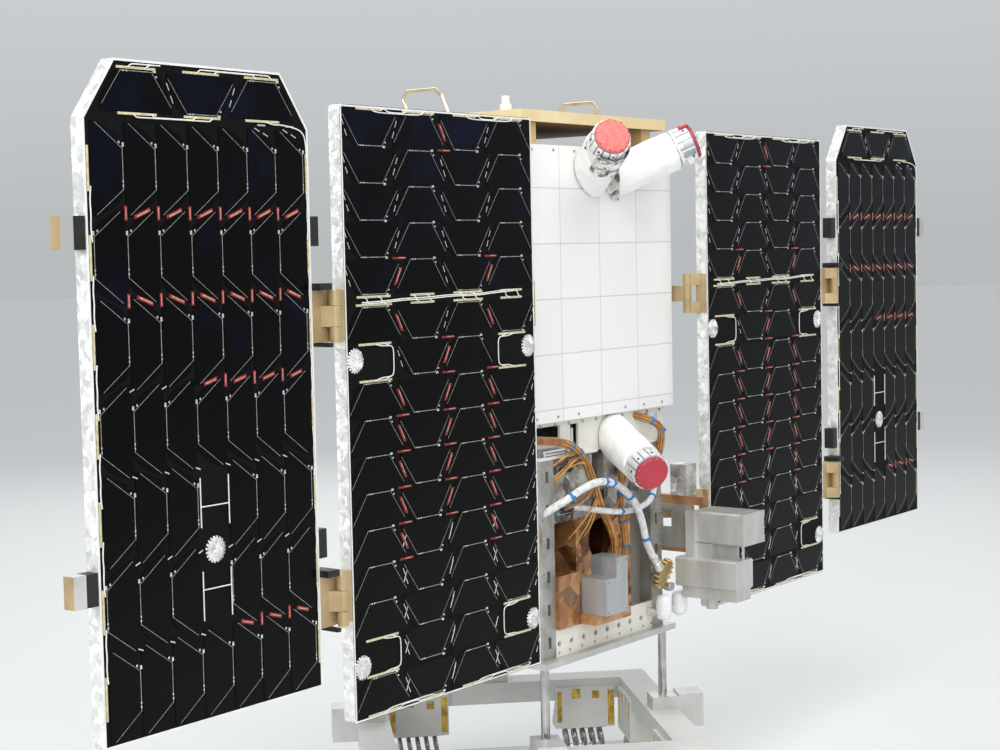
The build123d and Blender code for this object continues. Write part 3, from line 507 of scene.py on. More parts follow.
# %% Wires and paint
def wires(name, body, radius, lines, material, cyclic=False):
    """Thin round wires, one smooth spline for each list of points.

    The thickness is in millimetres, and each point's own radius scales it to metres. That keeps
    the bounds of the curve tight, since Blender adds the points' radius to them.
    """
    curve = bpy.data.curves.new(name, "CURVE")
    curve.dimensions = "3D"
    curve.bevel_depth = radius
    curve.bevel_resolution = 1
    curve.resolution_u = 4
    curve.use_fill_caps = True
    for points in lines:
        spline = curve.splines.new("NURBS")
        spline.points.add(len(points) - 1)
        for point, place in zip(spline.points, points):
            point.co = (*[value * MM for value in place], 1)
            point.radius = MM
        spline.order_u = 3
        spline.use_cyclic_u = cyclic
        spline.use_endpoint_u = not cyclic
    curve.materials.append(material)
    made = bpy.data.objects.new(name, curve)
    bpy.context.scene.collection.objects.link(made)
    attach(made, body)
    return made


def paint(node, *materials):
    """Gives a node of the frame its materials."""
    mesh = nodes[node].data
    mesh.materials.clear()
    for material in materials:
        mesh.materials.append(material)


def paint_some(node, base, other, chosen):
    """Gives a node two materials. The faces that are chosen get the other one."""
    paint(node, base, other)
    for face in nodes[node].data.polygons:
        face.material_index = int(chosen(face))


print("nodes to paint:", len(nodes))

# %% [markdown]
# ## Finishes of the rigid pieces
#
# Every node of the frame gets its material here. Some kinds of piece need two. A wing panel is
# dark laminate with silver tape on its edges. The lifting plate is gold, with brown on its
# underside as painted shade. A shoulder block is bare metal in front and at its ends. The rear wall
# of the bay wears film on the inside only, and the pocket of the wrapped tank box gets darker
# kapton as painted shade.

# %% Finishes
bus_finishes = (
    (aluminium, "bottom_deck middle_deck top_deck"),
    (darker_aluminium, "bay_columns window_bracket"),
    (satin_aluminium, "box_mount upper_aluminium_box lower_aluminium_box post_clamps"),
    (bright_aluminium, "tracker_rings"),
    (white_paint, "bay_side_walls rear_panel side_panels"),
    (rail_paint, "lower_rail upper_rail"),
    (stand_paint, "stand_frame stand_base"),
    (tile_white, "radiator_panel"),
    (spacer_gold, "plate_spacers"),
    (warm_steel, "lifting_handles"),
    (steel, "wire_rope_isolators stand_posts"),
    (white_plastic, "lifting_knob"),
    (bay_film, "avionics_stack rear_electronics_box"),
    (kapton, "lower_wrapped_box"),
    (box_metal, "stepped_box"),
    (copper_film, "outrigger_bars"),
    (blanket, "upper_tracker_wraps lower_tracker_wrap"),
    (coral, "upper_tracker_caps"),
    (deep_red, "lower_tracker_cap"),
    (sleeve, "bay_harness"),
)
wing_finishes = (
    (cell_material, "inner_cells outer_cells"),
    (bright_aluminium, "inner_hold_down_discs outer_hold_down_disc"),
    (alodine, "root_hinge_bus root_hinge_panel middle_hinge_inner middle_hinge_outer"),
    (dark_paint, "shoulder_tabs"),
)
pocket_axis = (0.012, 0.417)
pocket_radius = 0.031
pocket_front = -0.1485


def in_pocket(face):
    """Whether a face of the tank box lies in its round opening."""
    from_axis = math.hypot(face.center.x - pocket_axis[0], face.center.z - pocket_axis[1])
    return from_axis < pocket_radius and face.center.y > pocket_front


for material, names in bus_finishes:
    for node in names.split():
        paint(node, material)
for side in ("left", "right"):
    for material, names in wing_finishes:
        for name in names.split():
            paint(f"{name}_{side}", material)
    for part in ("inner", "outer"):
        paint_some(f"{part}_panel_{side}", laminate, silver_tape, lambda face: abs(face.normal.y) <= 0.9)
    paint_some(
        f"shoulder_blocks_{side}", alodine, bright_aluminium,
        lambda face: face.normal.y < -0.9 or abs(face.normal.z) > 0.9,
    )
paint_some("bay_rear_wall", bay_film, aluminium, lambda face: face.normal.y > 0.5)
# The faces in the round opening of the tank box get the darker kapton: painted shade in the recess.
paint_some("wrapped_tank_box", kapton, shaded_kapton, in_pocket)
# The downward faces of the lifting plate get the brown: painted shade under the plate.
paint_some("lifting_plate", plate_gold, underside_shade, lambda face: face.normal.z < -0.5)
print("nodes without a material:", [name for name, node in nodes.items() if not node.data.materials])

# %% [markdown]
# ## Cell fields
#
# Each cell is half of a round wafer, so the two corners beside its short side are arcs of the
# wafer's rim. Neighbours lie head to tail, and the cut corners leave slanted gaps. The same two
# lists of places serve both wings.

# %% Places of the cells
inner_centre = 408.0
outer_centre = 810.5
panel_face = -210.0
cell_pitch = 43.97
cell_size = 42.37
column_pitch = 90.0
disc_heights = (348.5, 715.0)
first_row_z = 988.915
break_row = 5
break_gap = 12
disc_row_gap = 3
top_edge_z = 1033.7
first_upright_z = 932.53
sides = (("left", -1), ("right", 1))


def inner_places():
    """Offset, height and turn of each cell on an inner panel, with its row and column."""
    z = first_row_z
    for row in range(16):
        if row == break_row:
            z -= break_gap
        beside_disc = any(abs(z - height) < cell_pitch / 2 for height in disc_heights)
        for column in range(4):
            if beside_disc and column in (0, 3):
                continue
            flip = (column + (row >= break_row)) % 2
            yield (column - 1.5) * column_pitch, z, 180 * flip, row, column
        z -= cell_pitch + (disc_row_gap if beside_disc else 0)


def outer_places():
    """The same for an outer panel, where most cells stand upright."""
    top = top_edge_z - cell_size / 2
    for column in range(3):
        yield (column - 1) * column_pitch, top, 180 * ((column + 1) % 2), -1, column
    for row in range(7):
        z = first_upright_z - row * column_pitch
        for column in range(7):
            if column == 3 and row in (4, 5):
                continue
            yield (column - 3) * cell_pitch, z, 90 - 180 * (row % 2), row, column


fields = {"inner": (inner_centre, list(inner_places())), "outer": (outer_centre, list(outer_places()))}
print("cells on a wing:", {part: len(places) for part, (centre, places) in fields.items()})

# %% [markdown]
# A cell is drawn flat in its own frame, short side down, and lifted into a thin plate. The silver
# line of its contact runs along the short side and up both arcs, and a bright weld closes one of
# its ends.

# %% Cells and their silver lines
cell_outline = (
    (-22, 0), (22, 0), (30.1, 2.9), (37.3, 10.7), (43.7, 23.6), (48, 32), (48, 42.37),
    (-48, 42.37), (-48, 32), (-43.7, 23.6), (-37.3, 10.7), (-30.1, 2.9),
)
silver_line = ((46.6, 36), (21.2, 1.2))
cell_thickness = 0.6


def on_panel(x, z):
    """A place on the front of a panel: its own X and Y become the panel's X and Z."""
    return Matrix.Translation((x, panel_face, z)) @ Matrix.Rotation(math.radians(90), 4, "X")


def cell_frame(x, z, turn_degrees):
    """Where a cell lies, turned in the panel's plane."""
    spin = Matrix.Rotation(math.radians(turn_degrees), 4, "Z")
    return on_panel(x, z) @ spin @ Matrix.Translation((0, -cell_size / 2, 0))


def ribbon(bm, points, width, frame_matrix, low, high, material=0):
    """A flat line along points, as thin overlapping bars."""
    for start, end in zip(points, points[1:]):
        a = Vector((*start, 0))
        b = Vector((*end, 0))
        along = b - a
        angle = math.atan2(along.y, along.x)
        at = frame_matrix @ Matrix.Translation((a + b) / 2) @ Matrix.Rotation(angle, 4, "Z")
        half = along.length / 2 + width / 2
        block(bm, (-half, -width / 2, low), (half, width / 2, high), matrix=at, material=material)


def cell_marks(bm, at, turn_degrees, row, column):
    """The silver line of a cell, its weld and the bright marks beside it."""
    left = [(-u, v) for u, v in reversed(silver_line)]
    for points in (silver_line, left):
        ribbon(bm, points, 0.5, at, cell_thickness, 0.7)
    ribbon(bm, [(21.2, 0.9), (-21.2, 0.9)], 0.8, at, cell_thickness, 0.74)
    mirror = at @ Matrix.Diagonal((1 if turn_degrees in (0, 90) else -1, 1, 1, 1))
    block(bm, (22.6, -1.4, 0), (27.0, 1.4, 0.9), 0.3, mirror, 1)
    block(bm, (26.0, 4.4, 0.6), (28.4, 6.4, 0.85), 0, mirror, 1)
    for mark in (-18, -13.5):
        block(bm, (mark, 0.2, 0.6), (mark + 2.0, 1.8, 0.8), 0, mirror, 1)
    if turn_degrees == 0 or (turn_degrees == 90 and row == 0 and column > 4):
        for flip in (-1, 1):
            for u, v in ((47.3, 28), (42.2, 15)):
                tilt = Matrix.Rotation(math.radians(66 * flip), 4, "Z")
                tab_at = at @ Matrix.Translation((flip * u, v, 0)) @ tilt
                block(bm, (-4.2, -0.6, 0), (4.2, 0.6, 0.8), 0.2, tab_at, 1)


random.seed(11)
for side, sign in sides:
    for part, (centre, places) in fields.items():
        cells_bm = bmesh.new()
        lines_bm = bmesh.new()
        shades = []
        for x, z, turn_degrees, row, column in places:
            at = cell_frame(sign * centre + x, z, turn_degrees)
            plate = bmesh.new()
            face = plate.faces.new([plate.verts.new((u, v, 0)) for u, v in cell_outline])
            raised(plate, [face], cell_thickness)
            # The blue weight grows with the cell's height, a painted reflection, with a random part for each
            # cell.
            shade = max(0.15, min(1.0, (z - 300) / 700 + random.uniform(-0.2, 0.2)))
            shades.extend([shade] * len(plate.faces))
            merge(cells_bm, plate, at)
            cell_marks(lines_bm, at, turn_degrees, row, column)
        body = f"{side}_{part}_wing"
        cells = piece(f"{part}_cell_plates_{side}", body, cells_bm, cell_material)
        attribute = cells.data.attributes.new("shade", "FLOAT", "FACE")
        attribute.data.foreach_set("value", shades)
        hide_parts(f"{part}_cells_{side}")
        piece(f"{part}_cell_lines_{side}", body, lines_bm, silver_ink, solder)
print("faces of one field of cells:", len(cells.data.polygons))

# %% [markdown]
# ## Diodes, terminal strips and wires of the wings
#
# Red bypass diodes lie in the slanted gaps and across some row joints. Terminal strips close the
# strings of cells at the panel edges and beside the hold-down discs, and white wires join them.
# In the lists of diodes, a row of cells is followed by the gaps between its columns.

# %% Diodes and strips of the inner panels
inner_rows = sorted({row: z for x, z, turn_degrees, row, column in fields["inner"][1]}.items())
inner_row_z = dict(inner_rows)
gap_centres = (-90, 0, 90)
gap_diodes = dict.fromkeys((7, 8, 9, 10), (0, 1, 2)) | {0: (1,), 4: (0, 2), 5: (0, 2), 6: (1,), 11: (0, 2)}
joint_diodes = dict.fromkeys((7, 8, 9, 10), (0, 1, 2)) | {0: (1,), 3: (0, 2), 5: (1,), 6: (1, 2), 11: (0, 2)}
top_strip_z = 1011.6
bottom_strip_z = 287.4
strip_rows = (
    (top_strip_z, (47, 60, 45, 60)), (789.8, (60, 45, 58, 46)), (780.2, (64, 44, 59, 45)),
    (733.4, (58, 0, 0, 58)), (689.4, (58, 0, 0, 58)), (378.8, (58, 0, 0, 58)), (334.8, (58, 0, 0, 58)),
    (bottom_strip_z, (56, 48, 56, 48)),
)


def panel_line(centre, points, lift):
    """A line in front of a panel, at one height above it."""
    return [(centre + x, panel_face - lift, z) for x, z in points]


def chip(bm, centre, x, z, width, height, lift, tilt=0.0, shear=0.0, material=0):
    """A small flat plate on a panel, tilted or sheared."""
    at = on_panel(centre + x, z) @ Matrix.Rotation(math.radians(tilt), 4, "Z")
    slant = Matrix.Identity(4)
    slant[0][1] = shear
    block(bm, (-width / 2, -height / 2, 0), (width / 2, height / 2, lift), 0.15, at @ slant, material)


for side, sign in sides:
    centre = sign * inner_centre
    bm = bmesh.new()
    for row, gaps in gap_diodes.items():
        for gap in gaps:
            shear = 0.55 if (gap % 2 == 0) == (row < break_row) else -0.55
            x = gap_centres[gap]
            z = inner_row_z[row]
            chip(bm, centre, x, z, 4.6, 21, 0.9, shear=shear)
            chip(bm, centre, x + 0.4, z + 1, 1.5, 15, 1.3, shear=shear, material=3)
    for row, gaps in joint_diodes.items():
        for gap in gaps:
            joint = inner_row_z[row] - cell_pitch / 2
            chip(bm, centre, gap_centres[gap] + 3, joint, 25, 2.6, 1.0)
            chip(bm, centre, gap_centres[gap] + 7, joint + 0.3, 12, 1.0, 1.3, material=3)
    for row in range(11, 16):
        for x in gap_centres:
            chip(bm, centre, x, inner_row_z[row], 1.6, 13, 0.9, shear=0.45, material=1)
    for z, widths in strip_rows:
        for column, width in enumerate(widths):
            if not width:
                continue
            x = (column - 1.5) * column_pitch
            chip(bm, centre, x, z, width, 2.8, 1.2, material=2)
            for number in range(9):
                share = (number / 8 - 0.5) * (width - 6)
                chip(bm, centre, x + share, z, 2.6, 1.6, 1.7, material=1)
    piece(
        f"inner_panel_terminals_{side}", f"{side}_inner_wing", bm, diode_red, solder, cream, diode_pink,
    )
print("row heights of the inner cells:", [round(z) for row, z in inner_rows])

# %% [markdown]
# The wires of an inner panel are of four kinds: pairs along the outer strips, two long ones at the
# break between the rows, short hooks beside them, and loops around the hold-down discs.

# %% Wires of the inner panels
wire_radius = 0.75


def strip_pairs(centre):
    """The wires along the top and bottom strips, two over each pair of columns."""
    for first in (-135, 45):
        second = first + column_pitch
        for height, way in ((top_strip_z, 1), (bottom_strip_z, -1)):
            outer_run = (first - 6, first - 2, second + 12, second + 16)
            inner_run = (first + 20, first + 24, second - 20, second - 16)
            for number, (a, b, c, d) in enumerate((outer_run, inner_run)):
                top = height + 1.7 * way - number * 0.6 * way
                middle = height - (3.6 - number) * way
                points = [(a, height), (b - 1, top), (b + 3, top), (b + 8, middle), ((b + c) / 2, middle)]
                points += [(c - 8, middle), (c - 3, top), (c + 1, top), (d, height)]
                yield panel_line(centre, points, 2.0)


def break_wires(centre):
    """Two long wires over the break, and short hooks that lead down from them."""
    for offset in (0, 1.9):
        points = [(-158, 781.5 + offset), (-120, 782 + offset), (-80, 784.2 + offset)]
        points += [(-40, 783.6 + offset * 1.2), (10, 786 + offset), (60, 785 + offset * 0.8)]
        points += [(100, 787.5 + offset), (138, 788.6 + offset)]
        yield panel_line(centre, points, 2.2)
    hook = ((-7, 789.4), (-1, 788.8), (1, 785), (3, 781.4), (9, 780.6))
    for column in range(4):
        for shift in (-14, 12):
            x = (column - 1.5) * column_pitch + shift
            yield panel_line(centre, [(x + u, z) for u, z in hook], 1.9)


def disc_loops(centre):
    """Square loops beside the discs, each with a short wire at its top and at its bottom."""
    for top, bottom in ((731, 692), (376.5, 337)):
        for inward, upright_x in ((1, -103), (-1, 104)):
            near = upright_x - inward * 3
            far = upright_x - inward * 24
            points = [(far - inward * 8, top + 2), (far, top - 0.5), (near - inward * 6, top - 0.8)]
            points += [(near, top - 1.4), (upright_x, top - 6), (upright_x, (top + bottom) / 2)]
            points += [(upright_x, bottom + 6), (near, bottom + 1.4), (near - inward * 6, bottom + 0.8)]
            points += [(far, bottom + 0.5), (far - inward * 8, bottom - 2)]
            yield panel_line(centre, points, 1.8)
            for level, way in ((top, 1), (bottom, -1)):
                short = ((3, -1.0), (8, 0.2), (12, 2.4), (17, 2.6))
                points = [(near - inward * u, level + rise * way) for u, rise in short]
                yield panel_line(centre, points, 1.8)


for side, sign in sides:
    centre = sign * inner_centre
    lines = [*strip_pairs(centre), *break_wires(centre), *disc_loops(centre)]
    wires(f"inner_panel_wires_{side}", f"{side}_inner_wing", wire_radius, lines, wire_white)
print("wires on an inner panel:", len(lines))

# %% [markdown]
# The outer panels are wired the same way, but their strings stand upright, so the diodes lie at
# the joints between the rows and slanted bars lean in each column.

# %% Outer panel wiring
high_strip_z = 1036.0
low_strip_z = 989.2


def outer_joint(row):
    """Height of the joint below a row of upright cells."""
    return first_upright_z - (row + 0.5) * column_pitch


def outer_diodes(bm, centre):
    """Red diodes at the joints between the rows, and a slanted bar in each column."""
    boundaries = [(number - 3) * cell_pitch + cell_pitch / 2 for number in range(6)]
    for row in range(6):
        joint = outer_joint(row)
        red = {0: range(6), 1: range(6), 2: (3, 4, 5), 5: (4, 5)}.get(row, ())
        for number in red:
            chip(bm, centre, boundaries[number], joint, 3.8, 15, 1.0)
            chip(bm, centre, boundaries[number], joint, 1.4, 12, 1.3, material=3)
        lean = {0: 1, 1: -1}.get(row, 0)
        way = (-1) ** row
        for number in range(1, 7):
            x = (number - 3) * cell_pitch
            if lean:
                chip(bm, centre, x, joint, 23, 4.2, 0.9, lean * 21)
                chip(bm, centre, x + 1, joint, 18, 2.0, 1.3, lean * 21, material=3)
            elif number - 1 in red or number in red:
                chip(bm, centre, x, joint, 20, 4.5, 0.9, 16 * way)
                chip(bm, centre, x, joint, 15, 1.6, 1.3, 16 * way, material=3)
            else:
                chip(bm, centre, x - cell_pitch / 2, joint - 2, 7, 1.4, 0.9, 22 * way, material=1)


def outer_strips(bm, centre):
    """The terminal strips at the top and at both sides."""
    for x in (2 * cell_pitch, 3 * cell_pitch):
        chip(bm, centre, x, 985, 12, 1.8, 1.0, material=1)
    for column in range(3):
        for z in (high_strip_z, low_strip_z):
            chip(bm, centre, (column - 1) * column_pitch, z, 52, 2.6, 1.2, material=2)
    for edge in (-1, 1):
        for row in range(7):
            chip(bm, centre, edge * 157.3, first_upright_z - row * column_pitch, 2.4, 46, 1.2, material=2)


def outer_lines(centre):
    """The white wires of an outer panel: over the top strips, down the sides and at the disc."""
    for first, second, height, way in ((0, 90, high_strip_z, 1), (-90, 0, low_strip_z, -1)):
        level = height + 3.6 * way
        for number in range(2):
            a = first - 6 + 24 * number
            d = second + 14 - 24 * number
            points = [(a, height), (a + 3, level), (a + 8, level)]
            points += [(d - 8, level), (d - 3, level), (d, height)]
            yield panel_line(centre, [(x, z - 0.5 * number * way) for x, z in points], 1.8)
    for start in (-98, -74):
        points = [(start - 4, 1036), (start, 1039.4), (start + 5, 1040), (-58, 1040)]
        yield panel_line(centre, points, 1.8)
    points = [(96, 988.5), (104, 986), (118, 986.6), (134, 984.8), (150, 981), (156.5, 972), (157.5, 950)]
    yield panel_line(centre, points, 1.8)
    for edge in (-1, 1):
        x = edge * 155.2
        for row in range(6):
            z = first_upright_z - row * column_pitch
            points = [(x, z - 18), (x + edge * 1.8, z - 32), (x + edge * 0.4, z - 46)]
            points += [(x + edge * 1.8, z - 62), (x, z - 74)]
            yield panel_line(centre, points, 1.8)
    for high, low, cross in ((605, 551, 573.5), (503.5, 450, 483.5)):
        for x in (-20.7, 20.7):
            yield panel_line(centre, [(x, high), (x, (high + low) / 2), (x, low)], 1.6)
        yield panel_line(centre, [(-20.7, cross), (0, cross), (20.7, cross)], 1.6)


for side, sign in sides:
    centre = sign * outer_centre
    body = f"{side}_outer_wing"
    bm = bmesh.new()
    outer_diodes(bm, centre)
    outer_strips(bm, centre)
    piece(f"outer_panel_terminals_{side}", body, bm, diode_red, solder, cream, diode_pink)
    wires(f"outer_panel_wires_{side}", body, wire_radius, outer_lines(centre), wire_white)
print("joints of the outer rows:", [round(outer_joint(row)) for row in range(6)])

# %% [markdown]
# A thin dark pad lies on the end faces of each outer hinge block. A small gap keeps it clear of
# the inner block when the panel folds over.

# %% Hinge pads
hinge_heights = (438, 770)
hinge_half = 30
pad_gap = 0.4
pad_reach = (628.5, 648.5)
notch_reach = (628.5, 635)
for side, sign in sides:
    low, high = [[value / MM for value in corner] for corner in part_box(f"middle_hinge_outer_{side}")]
    front = low[1] + 3
    back = high[1] - 1
    near, far = sorted(sign * x for x in pad_reach)
    notch = sorted(sign * x for x in notch_reach)
    bm = bmesh.new()
    for z in hinge_heights:
        top = z + hinge_half + pad_gap
        bottom = z - hinge_half - pad_gap
        block(bm, (near, front, top), (far, back, top + 8), 0.8)
        block(bm, (notch[0], front, bottom - 5), (notch[1], back, bottom), 0.8)
    piece(f"hinge_pads_{side}", f"{side}_outer_wing", bm, dark_paint)
print("hinge pads:", 4 * len(hinge_heights))

# %% [markdown]
# ## Panel rims and hold-down discs
#
# Thin white tape folds over the front edge of each panel. The hold-down points are closed with
# discs of crinkled tape whose rim is cut into petals.

# %% Rims and petal discs
def rim(bm, outline, width, lift):
    """A flat band just inside a closed outline on a panel."""
    ring_bm = bmesh.new()
    face = ring_bm.faces.new([ring_bm.verts.new((x, z, 0)) for x, z in outline])
    ring_bm.normal_update()
    bmesh.ops.inset_region(ring_bm, faces=[face], use_boundary=True, thickness=width, use_even_offset=True)
    bmesh.ops.delete(ring_bm, geom=[face], context="FACES")
    raised(ring_bm, ring_bm.faces[:], lift)
    merge(bm, ring_bm, on_panel(0, 0))


petals = 20
disc_rings = ((3.2, 2.2), (7.5, 2.5), (11.0, 2.1), (13.0, 1.6), (15.0, 0.5))


def petal_disc(bm, x, z, seed):
    """A rosette of tape: petals around a slightly domed middle."""
    random.seed(seed)
    steps = petals * 4
    disc_bm = bmesh.new()
    previous = []
    for radius, height in disc_rings:
        ring = []
        for number in range(steps):
            angle = 2 * math.pi * number / steps
            notch = 0.0 if number % 4 else 1.0
            outer = radius - notch * (3.4 if radius > 14 else 1.2 if radius > 12 else 0.0)
            outer += random.uniform(-0.5, 0.2) if radius > 14 else 0.0
            crease = 0.5 * math.cos(angle * petals) + random.uniform(-0.3, 0.3)
            place = (outer * math.cos(angle), outer * math.sin(angle), height + crease * 0.6)
            ring.append(disc_bm.verts.new(place))
        edges = [disc_bm.edges.new((a, b)) for a, b in zip(ring, ring[1:] + ring[:1])]
        if previous:
            bmesh.ops.bridge_loops(disc_bm, edges=previous + edges)
        previous = edges
    middle = [edge for edge in disc_bm.edges if edge.is_boundary and edge.verts[0].co.to_2d().length < 4]
    bmesh.ops.holes_fill(disc_bm, edges=middle)
    merge(bm, disc_bm, on_panel(x, z))


inner_edges_x = (222.0, 594.0)
inner_edges_z = (283.5, 1015.5)
outer_edges_x = (649.0, 972.0)
edge_inset = 0.6
for side, sign in sides:
    a, b = sorted(sign * x for x in inner_edges_x)
    low, high = inner_edges_z
    left, right, lower, upper = a + edge_inset, b - edge_inset, low + edge_inset, high - edge_inset
    bm = bmesh.new()
    rim(bm, [(left, lower), (right, lower), (right, upper), (left, upper)], 2.0, 0.35)
    piece(f"inner_rim_{side}", f"{side}_inner_wing", bm, rim_white)
    a, b = sorted(sign * x for x in outer_edges_x)
    bm = bmesh.new()
    outline = [(a, 340.5), (b, 340.5), (b, 983.5), (b - 42, 1044.5), (a + 42, 1044.5), (a, 983.5)]
    rim(bm, outline, 2.4, 0.35)
    piece(f"outer_rim_{side}", f"{side}_outer_wing", bm, rim_white)
    bm = bmesh.new()
    for seed, x in ((5, 237.5), (6, 578.5)):
        for z in disc_heights:
            petal_disc(bm, sign * x, z, seed)
    discs = piece(f"inner_petal_discs_{side}", f"{side}_inner_wing", bm, disc_foil, smooth_angle=14)
    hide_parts(f"inner_hold_down_discs_{side}")
    bm = bmesh.new()
    petal_disc(bm, sign * outer_centre, 525.0, 9)
    outer_disc = piece(f"outer_petal_disc_{side}", f"{side}_outer_wing", bm, disc_foil, smooth_angle=14)
    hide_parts(f"outer_hold_down_disc_{side}")
print("petal discs on a wing:", 2 * len(disc_heights) + 1)

# %% [markdown]
# ## Star trackers
#
# A tracker is a barrel in a sewn blanket, a fluted end ring with small screws, and a protective
# cap. The blanket is blown up a little by a short cloth simulation and then creased, because a
# real one is loose around the barrel.

# %% Where the trackers are
tracker_frames = {
    "upper_left": ((-24, -165, 946), (-0.57, -0.73, 0.40)),
    "upper_right": ((48, -165, 946), (0.57, -0.73, 0.40)),
    "lower": ((30, -165, 566), (-0.44, -0.80, -0.34)),
}
left_root, left_axis = [Vector(part) for part in tracker_frames["upper_left"]]
left_axis.normalize()
seen_right = (camera_right * 0.75 - camera_up * 0.66).normalized()
slant_side = (seen_right - left_axis * seen_right.dot(left_axis)).normalized()


def tuck(co):
    """Pulls the open end of the left wrap inwards, on a slant, so that its end ring shows."""
    reach = co / MM - left_root
    distance = reach.dot(left_axis)
    radial = reach - left_axis * distance
    limit = 77 - 15 * radial.normalized().dot(slant_side)
    if distance > limit and 24 < radial.length < 37:
        depth = min(1.0, (distance - limit) / 4)
        radial = radial.normalized() * (radial.length * (1 - depth) + 24.6 * depth)
        return (left_root + left_axis * distance + radial) * MM
    return co


print("trackers:", ", ".join(tracker_frames))

# %% [markdown]
# A blanket starts as a copy of the smooth node. It is drawn in a little, cut into even faces, blown
# up and creased. No vertex may move further than the cap, so the cover stays close to the barrel.

# %% Blankets
cloth_frames = 20
even_face = 0.0042


def settle(made):
    """Turns an object with its modifiers into a plain mesh of the same name."""
    bpy.context.view_layer.update()
    evaluated = made.evaluated_get(bpy.context.evaluated_depsgraph_get())
    mesh = bpy.data.meshes.new_from_object(evaluated)
    made.modifiers.clear()
    made.data = mesh
    mesh.name = made.name


def blow_up(made):
    """A short cloth simulation with a little pressure inside."""
    cloth = made.modifiers.new("cloth", "CLOTH")
    cloth.settings.use_pressure = True
    cloth.settings.uniform_pressure_force = 4
    cloth.settings.effector_weights.gravity = 0
    for number in range(1, cloth_frames + 1):
        bpy.context.scene.frame_set(number)
    settle(made)
    bpy.context.scene.frame_set(1)


def blanket_from(node, name, seed, inset=1.2, cap=5.0, crease=1.3):
    """A loose cloth cover in the place of a smooth node."""
    mesh = nodes[node].data.copy()
    made = bpy.data.objects.new(name, mesh)
    bpy.context.scene.collection.objects.link(made)
    bm = bmesh.new()
    bm.from_mesh(mesh)
    bmesh.ops.remove_doubles(bm, verts=bm.verts, dist=1e-5)
    bm.normal_update()
    for vert in bm.verts:
        vert.co -= vert.normal * inset * MM
    bm.to_mesh(mesh)
    bm.free()
    remesh = made.modifiers.new("even_faces", "REMESH")
    remesh.mode = "VOXEL"
    remesh.voxel_size = even_face
    settle(made)
    start = [vert.co.copy() for vert in made.data.vertices]
    blow_up(made)
    bm = bmesh.new()
    bm.from_mesh(made.data)
    bm.normal_update()
    for vert, origin in zip(bm.verts, start):
        move = vert.co - origin
        if move.length > cap * MM:
            vert.co = origin + move.normalized() * cap * MM
        where = vert.co * 26 + Vector((seed, 0, 0))
        ridge = 1 - abs(noise.noise(where)) * 2
        small = 1 - abs(noise.noise(where * 2.7)) * 2
        vert.co += vert.normal * (ridge * crease + small * crease * 0.4 - crease) * MM
        if node == "upper_tracker_wraps":
            vert.co = tuck(vert.co)
    bm.to_mesh(made.data)
    bm.free()
    made.data.materials.clear()
    made.data.materials.append(blanket)
    made.data.shade_smooth()
    smooth = made.modifiers.new("smooth", "SUBSURF")
    smooth.levels = 1
    smooth.render_levels = 1
    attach(made, "bus")
    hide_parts(node)
    return made


upper_blanket = blanket_from("upper_tracker_wraps", "upper_blanket", 3.1)
lower_blanket = blanket_from("lower_tracker_wrap", "lower_blanket", 7.7)
print("faces of the upper blanket:", len(upper_blanket.data.polygons))

# %% [markdown]
# The end rings are turned parts with sixteen flutes. Each cap has a rounded rim and small studs
# around it.

# %% End rings and caps
flutes = 16
rings_bm = bmesh.new()


def ring_screw(at, reach, height, radius, head):
    """A dark screw that points outwards from a ring."""
    bolt(rings_bm, at @ Vector((reach, 0, height)), at.to_3x3() @ Vector((1, 0, 0)), radius, head, 1)


for name, (root, direction) in tracker_frames.items():
    at = aimed(root, direction)
    start = 72 if name == "upper_left" else 93.5
    profile = ((24, start), (28.2, start), (28.2, 96.5), (26.0, 98), (26.0, 113), (25.2, 119.6), (23, 120))
    turned(rings_bm, profile, at, steps=48, material=2)
    turned(rings_bm, ((24, start - 0.2), (28.6, start - 0.2), (28.6, 97), (24, 97.2)), at, steps=48)
    for number in range(flutes):
        flute = spun(at, number, flutes)
        block(rings_bm, (24.5, -4.2, 97), (27.6, 4.2, 118), 0.9, flute)
        if number % 2 == 0:
            ring_screw(flute, 27.4, 112, 1.6, 1.2)
    if name == "upper_left":
        for number in range(6):
            ring_screw(spun(at, number, 6), 28.2, 86, 2.2, 1.4)
right_at = aimed(*tracker_frames["upper_right"])
into_right = right_at.to_3x3().inverted()
lower_side = into_right @ (camera_forward * -0.8 - camera_up * 0.6)
right_low = right_at @ Matrix.Rotation(math.atan2(lower_side.y, lower_side.x), 4, "Z")
block(rings_bm, (24, -5, 99), (28.0, 5, 117), 0.6, right_low, 2)
block(rings_bm, (24, 9, 101), (29.4, 17, 111), 0.8, right_low, 0)
block(rings_bm, (24, -21, 104), (28.6, -14, 118), 0.8, right_low, 0)
rings = piece("fluted_rings", "bus", rings_bm, ring_metal, dark_paint, connector_grey)
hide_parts("tracker_rings")


def cap(bm, at, studs, material=0, stud_material=1):
    """A shallow plastic cap with studs around its rim."""
    profile = ((0, 124.8), (19, 125.0), (23.2, 124.6), (24.8, 123.2), (25.0, 120.6), (24.0, 120.0))
    turned(bm, profile, at, steps=56, material=material)
    for number in range(studs):
        place = spun(at, number + 0.3, studs) @ Vector((23.4, 0, 124.0))
        bolt(bm, place, at.to_3x3() @ Vector((0.5, 0, 1)), 1.1, 0.9, stud_material)


